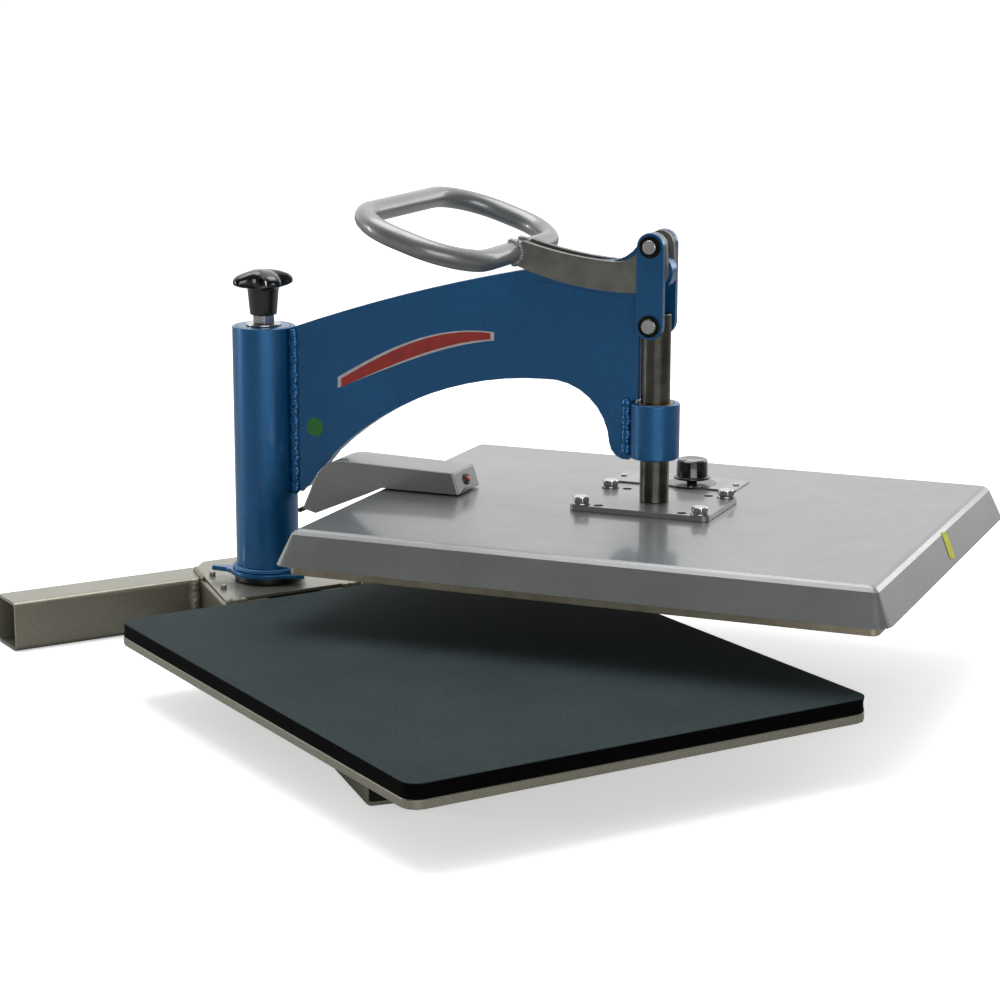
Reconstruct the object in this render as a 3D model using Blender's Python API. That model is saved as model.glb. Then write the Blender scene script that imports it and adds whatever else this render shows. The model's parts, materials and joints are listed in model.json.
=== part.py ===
"""Swing-away heat press: base frame, table, swinging arm, lever linkage and heated platen.

Metres, +Z up. The origin is under the middle of the rear cross tube, on the surface that the press
stands on. The operator stands at -Y. Everything on the arm is drawn in the arm's own frame, with +X
along the arm, and the empty swing_pivot turns that frame to the arm's parked angle.
"""

import math

import bmesh
import bpy
from mathutils import Matrix, Vector

GAP = 0.0003                 # clearance between pieces that touch

# Base frame
TUBE = 0.046                 # square tube, outside
TUBE_WALL = 0.003
TUBE_CORNER = 0.005          # outside corner radius
REAR_TUBE_LENGTH = 0.468
LEG_SPLAY = math.radians(11.85)
LEG_START_X = 0.0267         # leg centre line at the rear tube
LEG_LENGTH = 0.552
PLATE_TOP = 0.0493           # top of the base plate
BASE_PLATE_FRONT = -0.121
BASE_PLATE_BACK = 0.023

# Table, which takes the garment
ARM_REACH = 0.381            # post axis to rod axis
TABLE_WIDTH = 0.410
TABLE_DEPTH = 0.508
TABLE_CORNER = 0.013
TABLE_PLATE_TOP = 0.0537
PAD_TOP = 0.0662

# Post and what it turns on
POST_Y = -0.067
POST_RADIUS = 0.02915
POST_BORE = 0.0253
POST_TOP = 0.2888
COLUMN_RADIUS = 0.022
COLUMN_TOP = 0.262
WASHER_TOP = 0.0553
FLANGE_TOP = 0.0600
FLANGE_RADIUS = 0.0352
WASHER_RADIUS = 0.0312
SCREW_RADIUS = 0.006
PARKED_ANGLE = math.radians(36.24)   # the arm's angle away from the table

# Arm, sleeve and linkage, in the arm's frame
ARM_THICKNESS = 0.0127
SLEEVE_RADIUS = 0.0215
SLEEVE_BORE = 0.0163
SLEEVE_LOW = 0.195
SLEEVE_HIGH = 0.244
PIVOT_Z = 0.358              # lever pivot, over the rod's axis
CRANK = 0.023                # lever pivot to crank pin: the platen's stroke is twice this
LINK_SPACING = 0.068         # crank pin to rod pin
LINK_RADIUS = 0.012
PIN_RADIUS = 0.006
PIN_CLEARANCE = 0.0003
NOSE_RADIUS = 0.016
CHEEK_INNER = 0.0070         # distance of each layer from the arm's middle plane
CHEEK_OUTER = 0.0132
LINK_INNER = 0.0139
LINK_OUTER = 0.0199
RING_INNER = 0.0202
RING_OUTER = 0.0217
PIN_END = 0.0235
RING_RADIUS = 0.0095

# Handle loop
HANDLE_RADIUS = 0.0095
HANDLE_NEAR = 0.251
HANDLE_FAR = 0.141
HANDLE_NEAR_Z = 0.369
HANDLE_SLOPE = 0.33          # rise per metre away from the pivot
HANDLE_HALF = 0.115          # half width of the loop
HANDLE_BEND = 0.050

# Platen
ROD_RADIUS = 0.01275
ROD_TOP = 0.322
SLAB_BOTTOM = 0.1126
SLAB_THICKNESS = 0.0127
COVER_TOP = 0.1515
COVER_BOTTOM = 0.1215
COVER_WALL = 0.0015
COVER_HALF_TOP = (0.251, 0.202)
COVER_FLARE = 0.014          # how far the skirt stands out at its lower edge
MOUNT_PLATE = (0.127, 0.088)
MOUNT_PLATE_TOP = 0.1565
BOLT_SPACING = (0.054, 0.037)        # half spacings
SPARE_SPACING = (0.038, 0.037)
BOLT_RADIUS = 0.004
BOLT_HOLE = 0.0043
BOLT_WASHER = 0.008
ELEMENT_RADIUS = 0.004

# Control box on the cover, and the dial
BOX_LOW_V = -0.033
BOX_HIGH_V = 0.015
BOX_WALL = 0.0015
BOX_TRIM_RADIUS = 0.0022
DIAL_PLATE_CENTRE = (0.369, 0.106)
DIAL_PLATE = (0.120, 0.048)
DIAL_CENTRE = (0.3828, 0.100)
DIAL_PLATE_TOP = 0.1530
DIAL_SHAFT = 0.003

ROUND = 32                   # sides of a large round piece
SMALL_ROUND = 16


# ---------------------------------------------------------------- outlines

def arc(start, end, bulge, steps):
    """Points of a circular arc after start, up to end, standing bulge to the left of the chord."""
    a, b = Vector(start), Vector(end)
    chord = b - a
    half = chord.length / 2
    radius = (half * half + bulge * bulge) / (2 * abs(bulge))
    side = math.copysign(1.0, bulge)
    left = Vector((-chord.y, chord.x)).normalized() * side
    centre = (a + b) / 2 + left * (abs(bulge) - radius)
    sweep = 2 * math.asin(min(1.0, half / radius))
    first = a - centre
    points = []
    for step in range(1, steps + 1):
        turn = Matrix.Rotation(-side * sweep * step / steps, 2)
        points.append(tuple(centre + turn @ first))
    return points


def circle_arc(centre, radius, first, last, steps):
    """Points on a circle from angle first to angle last, in degrees, both ends included."""
    points = []
    for step in range(steps + 1):
        angle = math.radians(first + (last - first) * step / steps)
        points.append((centre[0] + radius * math.cos(angle), centre[1] + radius * math.sin(angle)))
    return points


def circle(radius, count, centre=(0.0, 0.0)):
    return circle_arc(centre, radius, 0, 360 * (count - 1) / count, count - 1)


def rounded_rectangle(width, depth, radius, steps=3, centre=(0.0, 0.0)):
    """Counterclockwise outline with (steps + 1) points at each corner."""
    x, y = width / 2 - radius, depth / 2 - radius
    points = []
    for quarter, corner in enumerate(((x, y), (-x, y), (-x, -y), (x, -y))):
        middle = (centre[0] + corner[0], centre[1] + corner[1])
        points += circle_arc(middle, radius, 90 * quarter, 90 * quarter + 90, steps)
    return points


def hexagon(across_flats, points_per_side=2):
    """Hexagon whose points can face a circle with the same number of points."""
    corners = circle(across_flats / math.sqrt(3), 6)
    outline = []
    for index, corner in enumerate(corners):
        following = corners[(index + 1) % 6]
        for part in range(points_per_side):
            share = part / points_per_side
            outline.append(tuple(Vector(corner).lerp(Vector(following), share)))
    return outline


def rounded_path(corners, radius, steps, closed):
    """A path through the corners, each rounded by an arc of the given radius."""
    count = len(corners)
    points = []
    for index, corner in enumerate(corners):
        here = Vector(corner)
        if not closed and index in (0, count - 1):
            points.append(here)
            continue
        back = (Vector(corners[index - 1]) - here).normalized()
        onward = (Vector(corners[(index + 1) % count]) - here).normalized()
        half_angle = back.angle(onward) / 2
        reach = radius / math.tan(half_angle)
        centre = here + (back + onward).normalized() * (radius / math.sin(half_angle))
        first, last = here + back * reach - centre, here + onward * reach - centre
        turn = first.angle(last)
        for step in range(steps + 1):
            share = step / steps
            ahead = math.sin(share * turn) / math.sin(turn)
            behind = math.sin((1 - share) * turn) / math.sin(turn)
            points.append(centre + first * behind + last * ahead)
    return points


# ---------------------------------------------------------------- meshes

def loft(rings, capped=True):
    """A mesh through rings of points with the same count: a closed body, or a closed tube if not capped."""
    mesh = bmesh.new()
    levels = [[mesh.verts.new(point) for point in ring] for ring in rings]
    count = len(rings[0])
    pairs = list(zip(levels, levels[1:]))
    if not capped:
        pairs.append((levels[-1], levels[0]))
    for low, high in pairs:
        for index in range(count):
            following = (index + 1) % count
            mesh.faces.new((low[index], low[following], high[following], high[index]))
    if capped:
        mesh.faces.new(reversed(levels[0]))
        mesh.faces.new(levels[-1])
    return mesh


def at_height(outline, z):
    return [(x, y, z) for x, y in outline]


def standing(outline, y):
    """An outline drawn as (x, z), placed at one y."""
    return [(x, y, z) for x, z in outline]


def prism(outline, low, high):
    return loft([at_height(outline, low), at_height(outline, high)])


def plate_on_edge(outline, near, far):
    return loft([standing(outline, near), standing(outline, far)])


def hollow_prism(outer, inner, low, high):
    rings = [at_height(inner, low), at_height(outer, low), at_height(outer, high), at_height(inner, high)]
    return loft(rings, capped=False)


def turned(profile, sides=ROUND):
    """Turns a (radius, z) profile about Z. It runs round a wall, or from the axis back to the axis."""
    rings = [at_height(circle(max(radius, 1e-6), sides), z) for radius, z in profile]
    solid = profile[0][0] == 0
    mesh = loft(rings, capped=solid)
    if solid:
        bmesh.ops.remove_doubles(mesh, verts=mesh.verts, dist=5e-6)
        bmesh.ops.dissolve_degenerate(mesh, edges=mesh.edges, dist=1e-6)
    return mesh


def cylinder(radius, low, high, sides=ROUND):
    return prism(circle(radius, sides), low, high)


def ring(outer, inner, low, high, sides=ROUND):
    return hollow_prism(circle(outer, sides), circle(inner, sides), low, high)


# ---------------------------------------------------------------- objects

def clear_scene():
    for item in list(bpy.data.objects):
        bpy.data.objects.remove(item, do_unlink=True)


def material(name, colour, roughness, metallic):
    made = bpy.data.materials.new(name)
    made.use_nodes = True
    shader = made.node_tree.nodes["Principled BSDF"]
    shader.inputs["Base Color"].default_value = (*colour, 1.0)
    shader.inputs["Roughness"].default_value = roughness
    shader.inputs["Metallic"].default_value = metallic
    return made


def empty(name, parent=None, location=(0, 0, 0), rotation=(0, 0, 0)):
    item = bpy.data.objects.new(name, None)
    bpy.context.scene.collection.objects.link(item)
    item.parent = parent
    item.location = location
    item.rotation_euler = rotation
    return item


def place(name, mesh, finish, parent=None, location=(0, 0, 0), rotation=(0, 0, 0)):
    """Turns a bmesh into a named object under its parent, its faces pointing out."""
    bmesh.ops.recalc_face_normals(mesh, faces=mesh.faces)
    data = bpy.data.meshes.new(name)
    mesh.to_mesh(data)
    mesh.free()
    data.shade_smooth()
    data.set_sharp_from_angle(angle=math.radians(35))
    if finish:
        data.materials.append(finish)
    item = bpy.data.objects.new(name, data)
    bpy.context.scene.collection.objects.link(item)
    item.parent = parent
    item.location = location
    item.rotation_euler = rotation
    return item


def cut(item, cutter_mesh, parent=None, location=(0, 0, 0), rotation=(0, 0, 0)):
    """Cuts the cutter's shape out of an object, with a Boolean that stays on it."""
    name = f"cutter_{item.name}_{len(item.modifiers)}"
    cutter = place(name, cutter_mesh, None, parent, location, rotation)
    cutter.hide_render = True
    cutter.display_type = "WIRE"
    boolean = item.modifiers.new("cut", "BOOLEAN")
    boolean.operation = "DIFFERENCE"
    boolean.object = cutter


def drill(item, centre, radius, low, high, sides=SMALL_ROUND):
    """An upright hole through an object, in its parent's frame."""
    cut(item, cylinder(radius, low, high, sides), item.parent, (centre[0], centre[1], 0))


def drill_across(item, centre, radius, reach=0.03):
    """A hole along the parent's Y, centred on (x, z)."""
    location = (centre[0], 0, centre[1])
    cut(item, cylinder(radius, -reach, reach, ROUND), item.parent, location, (math.pi / 2, 0, 0))


def piped(name, points, radius, finish, parent, closed, location=(0, 0, 0)):
    """A round bar or tube along a path."""
    curve = bpy.data.curves.new(name, "CURVE")
    curve.dimensions = "3D"
    curve.bevel_depth = radius
    curve.bevel_resolution = 3
    curve.use_fill_caps = not closed
    curve.materials.append(finish)
    spline = curve.splines.new("POLY")
    spline.points.add(len(points) - 1)
    for target, point in zip(spline.points, points):
        target.co = (*point, 1.0)
    spline.use_cyclic_u = closed
    item = bpy.data.objects.new(name, curve)
    bpy.context.scene.collection.objects.link(item)
    item.parent = parent
    item.location = location
    return item


# ---------------------------------------------------------------- base and table

def tube_section(length, start_slope=0.0):
    """A square tube along Z from 0, its first end cut at a slope across X."""
    outer = rounded_rectangle(TUBE, TUBE, TUBE_CORNER)
    inner = rounded_rectangle(TUBE - 2 * TUBE_WALL, TUBE - 2 * TUBE_WALL, TUBE_CORNER - TUBE_WALL)
    mesh = hollow_prism(outer, inner, 0, length)
    for vertex in mesh.verts:
        if vertex.co.z < length / 2:
            vertex.co.z += vertex.co.x * start_slope
    return mesh


def build_base(silver, steel, black, foam):
    """The cross tube, the legs, the base plate with its column, and the table with its pad."""
    middle = TUBE / 2
    rear = (-REAR_TUBE_LENGTH / 2, 0, middle)
    place("rear_cross_tube", tube_section(REAR_TUBE_LENGTH), silver, None, rear, (0, math.pi / 2, 0))
    for side, name in ((-1, "front_leg_left"), (1, "front_leg_right")):
        start = (side * LEG_START_X, -middle - GAP, middle)
        leg = tube_section(LEG_LENGTH, side * math.tan(LEG_SPLAY))
        place(name, leg, silver, None, start, (math.pi / 2, 0, side * LEG_SPLAY))
    half = [(0.0702, BASE_PLATE_FRONT), (0.041, 0.005), (0.026, BASE_PLATE_BACK)]
    outline = half + [(-x, y) for x, y in reversed(half)]
    place("base_top_plate", prism(outline, TUBE + GAP, PLATE_TOP), silver)
    post = (0, POST_Y, 0)
    column_edge = 0.0015
    column = [(0, PLATE_TOP + GAP), (COLUMN_RADIUS, PLATE_TOP + GAP)]
    column += [(COLUMN_RADIUS, COLUMN_TOP - column_edge), (COLUMN_RADIUS - column_edge, COLUMN_TOP)]
    place("column", turned(column + [(0, COLUMN_TOP)]), steel, None, post)
    washer = ring(WASHER_RADIUS, COLUMN_RADIUS + 0.001, PLATE_TOP + GAP, WASHER_TOP)
    place("thrust_washer", washer, black, None, post)
    table = rounded_rectangle(TABLE_WIDTH, TABLE_DEPTH, TABLE_CORNER)
    centre = (0, POST_Y - ARM_REACH, 0)
    place("table_plate", prism(table, TUBE + GAP, TABLE_PLATE_TOP), silver, None, centre)
    place("table_pad", prism(table, TABLE_PLATE_TOP + GAP, PAD_TOP), foam, None, centre)


# ---------------------------------------------------------------- arm

def arm_outline():
    """The arm's side view: a long arch from post to sleeve, its nose over the rod, and the crank's stop."""
    foot_x = ARM_REACH - SLEEVE_RADIUS - GAP
    edge_x = 0.3672
    outline = [(POST_RADIUS + GAP, 0.1332), (0.0465, 0.1422), (0.075, 0.1770)]
    outline += arc(outline[-1], (0.280, 0.2585), 0.0212, 12)
    outline += arc(outline[-1], (0.341, 0.206), 0.017, 8)
    outline += arc(outline[-1], (foot_x, 0.1925), -0.0048, 4)
    outline += [(foot_x, SLEEVE_HIGH + 0.001), (edge_x, SLEEVE_HIGH + 0.002), (edge_x, 0.338)]
    outline += circle_arc((ARM_REACH, PIVOT_Z), NOSE_RADIUS, 230, 462, 16)
    outline += [(0.3738, 0.3765), (0.3738, 0.3850), (0.3685, 0.3862)]
    outline += arc(outline[-1], (0.342, 0.3660), 0.0042, 5)
    outline += [(0.328, 0.3656), (0.2546, 0.3527)]
    outline += arc(outline[-1], (POST_RADIUS + GAP, 0.2885), -0.0042, 8)
    return outline


def flange_mesh():
    """The flange under the post, with a stop tab at the back and a pointed stop nose at the front."""
    nose_reach = 0.0480
    nose_angle = math.radians(342)
    tab = [(192, 0.0530), (198, 0.0535), (202, 0.0452), (206, 0.0395), (212, 0.0368)]
    outer = circle_arc((0, 0), FLANGE_RADIUS, 218, 322, 9)
    outer.append((nose_reach * math.cos(nose_angle), nose_reach * math.sin(nose_angle)))
    outer += circle_arc((0, 0), FLANGE_RADIUS, 354, 551, 17)
    for degrees, reach in tab:
        angle = math.radians(degrees)
        outer.append((reach * math.cos(angle), reach * math.sin(angle)))
    inner = []
    for x, y in outer:
        scale = (COLUMN_RADIUS + 0.001) / math.hypot(x, y)
        inner.append((x * scale, y * scale))
    return hollow_prism(outer, inner, WASHER_TOP + GAP, FLANGE_TOP)


def build_arm(swing, blue, steel, zinc, bronze, black):
    """The post tube on its bushes, the arm, the rod's sleeve and the pressure screw."""
    disc_top = COLUMN_TOP + 0.005
    place("thrust_disc", cylinder(COLUMN_RADIUS - 0.001, COLUMN_TOP + GAP, disc_top), bronze, swing)
    place("stop_flange", flange_mesh(), blue, swing)
    place("post_tube", ring(POST_RADIUS, POST_BORE, FLANGE_TOP + GAP, POST_TOP), blue, swing)
    for name, low, high in (("lower_bush", 0.0606, 0.090), ("upper_bush", 0.225, 0.255)):
        place(name, ring(POST_BORE - GAP, COLUMN_RADIUS + GAP, low, high), bronze, swing)
    screw_hole = SCREW_RADIUS + PIN_CLEARANCE
    place("post_cap", ring(POST_BORE - GAP, screw_hole, POST_TOP - 0.008, POST_TOP), blue, swing)
    washer_top = POST_TOP + 0.0018
    place("lock_washer", ring(0.0164, screw_hole, POST_TOP + GAP, washer_top), zinc, swing)
    nut_top = washer_top + 0.008
    nut = hollow_prism(hexagon(0.019, 4), circle(screw_hole, 24), washer_top + GAP, nut_top)
    place("lock_nut", nut, zinc, swing)
    arm = place("arm_plate", plate_on_edge(arm_outline(), -ARM_THICKNESS / 2, ARM_THICKNESS / 2), blue, swing)
    drill_across(arm, (ARM_REACH, PIVOT_Z), PIN_RADIUS + PIN_CLEARANCE)
    rod_axis = (ARM_REACH, 0, 0)
    place("rod_sleeve", ring(SLEEVE_RADIUS, SLEEVE_BORE, SLEEVE_LOW, SLEEVE_HIGH), blue, swing, rod_axis)
    bush = ring(SLEEVE_BORE - GAP, ROD_RADIUS + GAP, SLEEVE_LOW, SLEEVE_HIGH)
    place("rod_bush", bush, bronze, swing, rod_axis)
    screw_top = nut_top + 0.0178
    place("pressure_screw", cylinder(SCREW_RADIUS, disc_top + GAP, screw_top, SMALL_ROUND), steel, swing)
    place("pressure_knob", knob_mesh(nut_top + GAP, screw_top + GAP, screw_hole), black, swing)


def knob_mesh(low, bore_top, bore):
    """A knob with a tapered boss, a blind bore from below and four rounded lobes."""
    sides = 40
    lobe_angle = math.radians(52)
    high = low + 0.0415

    def lobed(radius, lobe, z):
        points = []
        for index in range(sides):
            angle = 2 * math.pi * index / sides
            swell = 0.5 + 0.5 * math.cos(4 * (angle - lobe_angle))
            reach = radius + lobe * swell * swell * (3 - 2 * swell)
            points.append((reach * math.cos(angle), reach * math.sin(angle), z))
        return points

    levels = [(bore, 0, bore_top), (bore, 0, low), (0.0125, 0, low), (0.0145, 0, low + 0.0243)]
    levels += [(0.0145, 0.0105, low + 0.0260), (0.0147, 0.0147, low + 0.0283), (0.0146, 0.0151, low + 0.0328)]
    levels += [(0.0138, 0.0128, low + 0.0361), (0.0118, 0.0075, low + 0.0388), (0.0065, 0.0016, high)]
    return loft([lobed(*level) for level in levels])


# ---------------------------------------------------------------- lever and links

def cheek_outline():
    """Side view of a lever cheek: the pivot eye, the crank eye over it and the long tail to the handle."""
    pivot = (ARM_REACH, PIVOT_Z)
    crank = (ARM_REACH, PIVOT_Z + CRANK)
    eye = 0.0133
    crank_eye = 0.0118
    slope = math.degrees(math.asin((eye - crank_eye) / CRANK))
    cope = circle_arc((HANDLE_NEAR, HANDLE_NEAR_Z), HANDLE_RADIUS + 0.0005, 40, -80, 6)
    outline = arc(cope[-1], (0.3644, 0.3398), -0.0056, 8)
    outline += [(0.376, 0.3408)]
    outline += circle_arc(pivot, eye, 300, 360 + slope, 6)
    outline += circle_arc(crank, crank_eye, slope, 200, 8)
    outline += [(0.364, 0.372), (0.3559, 0.3673), (0.3468, 0.3659)]
    outline += arc(outline[-1], (0.2616, 0.3799), 0.0027, 6)
    return outline + cope


def handle_path():
    """The centre line of the handle: a rounded loop that rises away from the pivot."""
    corners = []
    far_z = HANDLE_NEAR_Z + HANDLE_SLOPE * (HANDLE_NEAR - HANDLE_FAR)
    for x, z, side in ((HANDLE_FAR, far_z, 1), (HANDLE_NEAR, HANDLE_NEAR_Z, 1),
                       (HANDLE_NEAR, HANDLE_NEAR_Z, -1), (HANDLE_FAR, far_z, -1)):
        corners.append((x, side * HANDLE_HALF, z))
    return rounded_path(corners, HANDLE_BEND, 9, closed=True)


def across(low, high, radius, sides=ROUND):
    """A pin along Y: the mesh lies along Z and is turned by its object."""
    return cylinder(radius, low, high, sides)


def build_lever(swing, silver, steel, grey):
    """The lever's two cheeks, the handle loop and the lever's two pins."""
    pivot = (ARM_REACH, 0, PIVOT_Z)
    lever = empty("lever_pivot", swing, pivot)
    home = (-ARM_REACH, 0, -PIVOT_Z)
    eyes = ((ARM_REACH, PIVOT_Z), (ARM_REACH, PIVOT_Z + CRANK))
    for side, name in ((-1, "lever_cheek_front"), (1, "lever_cheek_rear")):
        mesh = plate_on_edge(cheek_outline(), side * CHEEK_INNER, side * CHEEK_OUTER)
        cheek = place(name, mesh, grey, lever, home)
        for x, z in eyes:
            hole = cylinder(PIN_RADIUS + PIN_CLEARANCE, -0.03, 0.03)
            cut(cheek, hole, lever, (x - ARM_REACH, 0, z - PIVOT_Z), (math.pi / 2, 0, 0))
    piped("handle_loop", handle_path(), HANDLE_RADIUS, silver, lever, True, home)
    quarter = (math.pi / 2, 0, 0)
    pivot_half = CHEEK_OUTER + GAP
    place("pivot_pin", across(-pivot_half, pivot_half, PIN_RADIUS), steel, lever, (0, 0, 0), quarter)
    place("crank_pin", across(-PIN_END, PIN_END, PIN_RADIUS), steel, lever, (0, 0, CRANK), quarter)
    return lever


def build_links(lever, blue, steel, black):
    """The two links on the crank pin, the rings that hold them and the ends of the rod pin."""
    hinge = empty("link_pivot", lever, (0, 0, CRANK))
    top = circle_arc((0, 0), LINK_RADIUS, 0, 180, 10)
    bottom = circle_arc((0, -LINK_SPACING), LINK_RADIUS, 180, 360, 10)
    hole = PIN_RADIUS + PIN_CLEARANCE
    quarter = (math.pi / 2, 0, 0)
    for side, name in ((-1, "front"), (1, "rear")):
        mesh = plate_on_edge(top + bottom, side * LINK_INNER, side * LINK_OUTER)
        link = place(f"link_{name}", mesh, blue, hinge)
        drill_across(link, (0, 0), hole)
        drill_across(link, (0, -LINK_SPACING), hole)
        low, high = sorted((-side * RING_INNER, -side * RING_OUTER))
        place(f"crank_ring_{name}", ring(RING_RADIUS, hole, low, high, 24), black, hinge, (0, 0, 0), quarter)
        profile = [(0, LINK_INNER), (PIN_RADIUS, LINK_INNER), (PIN_RADIUS, RING_INNER)]
        profile += [(RING_RADIUS, RING_INNER), (RING_RADIUS, RING_OUTER), (PIN_RADIUS, RING_OUTER)]
        profile += [(PIN_RADIUS, PIN_END), (0, PIN_END)]
        outward = (-side * math.pi / 2, 0, 0)
        place(f"rod_pin_{name}", turned(profile, 24), steel, hinge, (0, 0, -LINK_SPACING), outward)


# ---------------------------------------------------------------- platen

def bolt_mesh(head_low, shank_low, across_flats=0.013, head=0.0053, radius=BOLT_RADIUS):
    """A hexagon bolt, head up, with the corners of its head taken off."""
    count = 12
    shank = circle(radius, count)
    hexed = hexagon(across_flats)
    top = head_low + head
    chamfer = circle(across_flats * 0.47, count)
    rings = [at_height(shank, shank_low), at_height(shank, head_low), at_height(hexed, head_low)]
    rings += [at_height(hexed, top - 0.0010), at_height(chamfer, top)]
    return loft(rings)


def cover_mesh():
    """The cover: a folded sheet-metal tray, upside down, whose skirt flares towards its lower edge."""
    def plan(share, inset):
        half_x = COVER_HALF_TOP[0] + COVER_FLARE * share - inset
        half_y = COVER_HALF_TOP[1] + COVER_FLARE * share - inset
        radius = 0.0030 + 0.0110 * share
        outline = rounded_rectangle(2 * half_x, 2 * half_y, radius, 3)
        z = COVER_TOP - (COVER_TOP - COVER_BOTTOM) * share
        return at_height(outline, z - inset * (share < 1))

    def top_ring(inset, drop, back):
        half_x = COVER_HALF_TOP[0] - back - inset
        half_y = COVER_HALF_TOP[1] - back - inset
        return at_height(rounded_rectangle(2 * half_x, 2 * half_y, 0.0030, 3), COVER_TOP - drop - inset)

    fold = 0.0045
    inner = [top_ring(COVER_WALL, 0, fold), top_ring(COVER_WALL, 0.0012, 0.0012), plan(0.14, COVER_WALL)]
    inner += [plan(1.0, COVER_WALL)]
    outer = [plan(1.0, 0), plan(0.14, 0), top_ring(0, 0.0012, 0.0012), top_ring(0, 0, fold)]
    return loft(inner + outer)


def box_outline():
    """Side view of the control box, which lies on the cover and bends down behind its edge."""
    outline = [(0.209, 0.1535), (0.203, 0.1725), (0.0935, 0.1752)]
    outline += arc(outline[-1], (0.0665, 0.158), -0.0042, 5)
    outline += [(0.0600, 0.142), (0.0535, 0.1275), (0.0665, 0.1240), (0.120, 0.147), (0.134, 0.1535)]
    return outline


def box_hollow():
    """The inside of the control box, which reaches past its open underside."""
    inside = 2 * BOX_WALL
    outline = [(0.2078, 0.1500), (0.2015, 0.1710), (0.0937, 0.1737)]
    outline += arc(outline[-1], (0.0682, 0.158), -0.0037, 5)
    outline += [(0.0617, 0.142), (0.0555, 0.1268), (0.0665, 0.1195), (0.120, 0.1425), (0.134, 0.1490)]
    return plate_on_edge(outline, BOX_LOW_V + inside / 2, BOX_HIGH_V - inside / 2)


def panel_bush(flange, shank, bore, outside, inside):
    """A short bush in a panel: its flange lies on the panel and its shank goes through it."""
    profile = [(bore, -inside), (shank, -inside), (shank, GAP), (flange, GAP)]
    profile += [(flange * 0.86, outside), (bore, outside)]
    return turned(profile, SMALL_ROUND)


def build_platen(swing, finishes):
    """The rod, its mount plate, the cover over the heated slab, and what lies between them."""
    silver, steel, zinc = finishes["silver"], finishes["oiled_steel"], finishes["zinc"]
    platen = empty("platen", swing, (ARM_REACH, 0, 0))
    pin_z = PIVOT_Z + CRANK - LINK_SPACING
    edge = 0.001
    profile = [(0, MOUNT_PLATE_TOP + GAP), (ROD_RADIUS, MOUNT_PLATE_TOP + GAP), (ROD_RADIUS, ROD_TOP - edge)]
    profile += [(ROD_RADIUS - edge, ROD_TOP), (0, ROD_TOP)]
    rod = place("press_rod", turned(profile), steel, platen)
    cross = PIN_RADIUS - GAP
    drill_across(rod, (0, pin_z), PIN_RADIUS)
    half = LINK_INNER - GAP
    place("rod_cross_pin", across(-half, half, cross, 24), steel, platen, (0, 0, pin_z), (math.pi / 2, 0, 0))
    low = COVER_TOP + GAP
    plate = place("mount_plate", prism(rounded_rectangle(*MOUNT_PLATE, 0.006), low, MOUNT_PLATE_TOP), silver, platen)
    cover = place("platen_cover", cover_mesh(), silver, platen)
    slab_top = SLAB_BOTTOM + SLAB_THICKNESS
    slab = rounded_rectangle(TABLE_DEPTH, TABLE_WIDTH, 0.006)
    place("heat_slab", prism(slab, SLAB_BOTTOM, slab_top), finishes["aluminium"], platen)
    under = COVER_TOP - COVER_WALL - GAP
    for index, side in enumerate((-1, 1)):
        outline = rounded_rectangle(0.022, 0.100, 0.003)
        bar = prism(outline, slab_top + GAP, under)
        spacer = place(f"spacer_bar_{index + 1}", bar, zinc, platen, (side * BOLT_SPACING[0], 0, 0))
        for across_side in (-1, 1):
            centre = (side * BOLT_SPACING[0], across_side * BOLT_SPACING[1])
            number = 2 * index + (across_side > 0) + 1
            for pierced in (plate, cover, spacer):
                drill(pierced, centre, BOLT_HOLE, slab_top - 0.01, MOUNT_PLATE_TOP + 0.01)
            top = MOUNT_PLATE_TOP + 0.0017
            washer = ring(BOLT_WASHER, BOLT_HOLE, MOUNT_PLATE_TOP + GAP, top, 20)
            place(f"mount_washer_{number}", washer, zinc, platen, (*centre, 0))
            bolt = bolt_mesh(top + GAP, slab_top + 0.006)
            place(f"mount_bolt_{number}", bolt, zinc, platen, (*centre, 0))
            spare = (side * SPARE_SPACING[0], across_side * SPARE_SPACING[1])
            drill(plate, spare, BOLT_HOLE, COVER_TOP - 0.0005, MOUNT_PLATE_TOP + 0.01)
    element_z = slab_top + GAP + ELEMENT_RADIUS
    corners = [(-0.160, -0.165), (0.215, -0.165), (0.215, -0.095), (-0.215, -0.095)]
    corners += [(x, -y) for x, y in reversed(corners)]
    path = rounded_path([(x, y, element_z) for x, y in corners], 0.030, 4, closed=False)
    piped("heating_element", path, ELEMENT_RADIUS, steel, platen, False)
    blanket = hollow_prism(rounded_rectangle(0.470, 0.370, 0.01),
                           rounded_rectangle(0.160, 0.190, 0.01, centre=(0, 0.035)),
                           element_z + ELEMENT_RADIUS + GAP, under)
    place("insulation_blanket", blanket, finishes["blanket"], platen)
    build_dial(platen, cover, finishes)
    build_control_box(platen, finishes)


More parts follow.
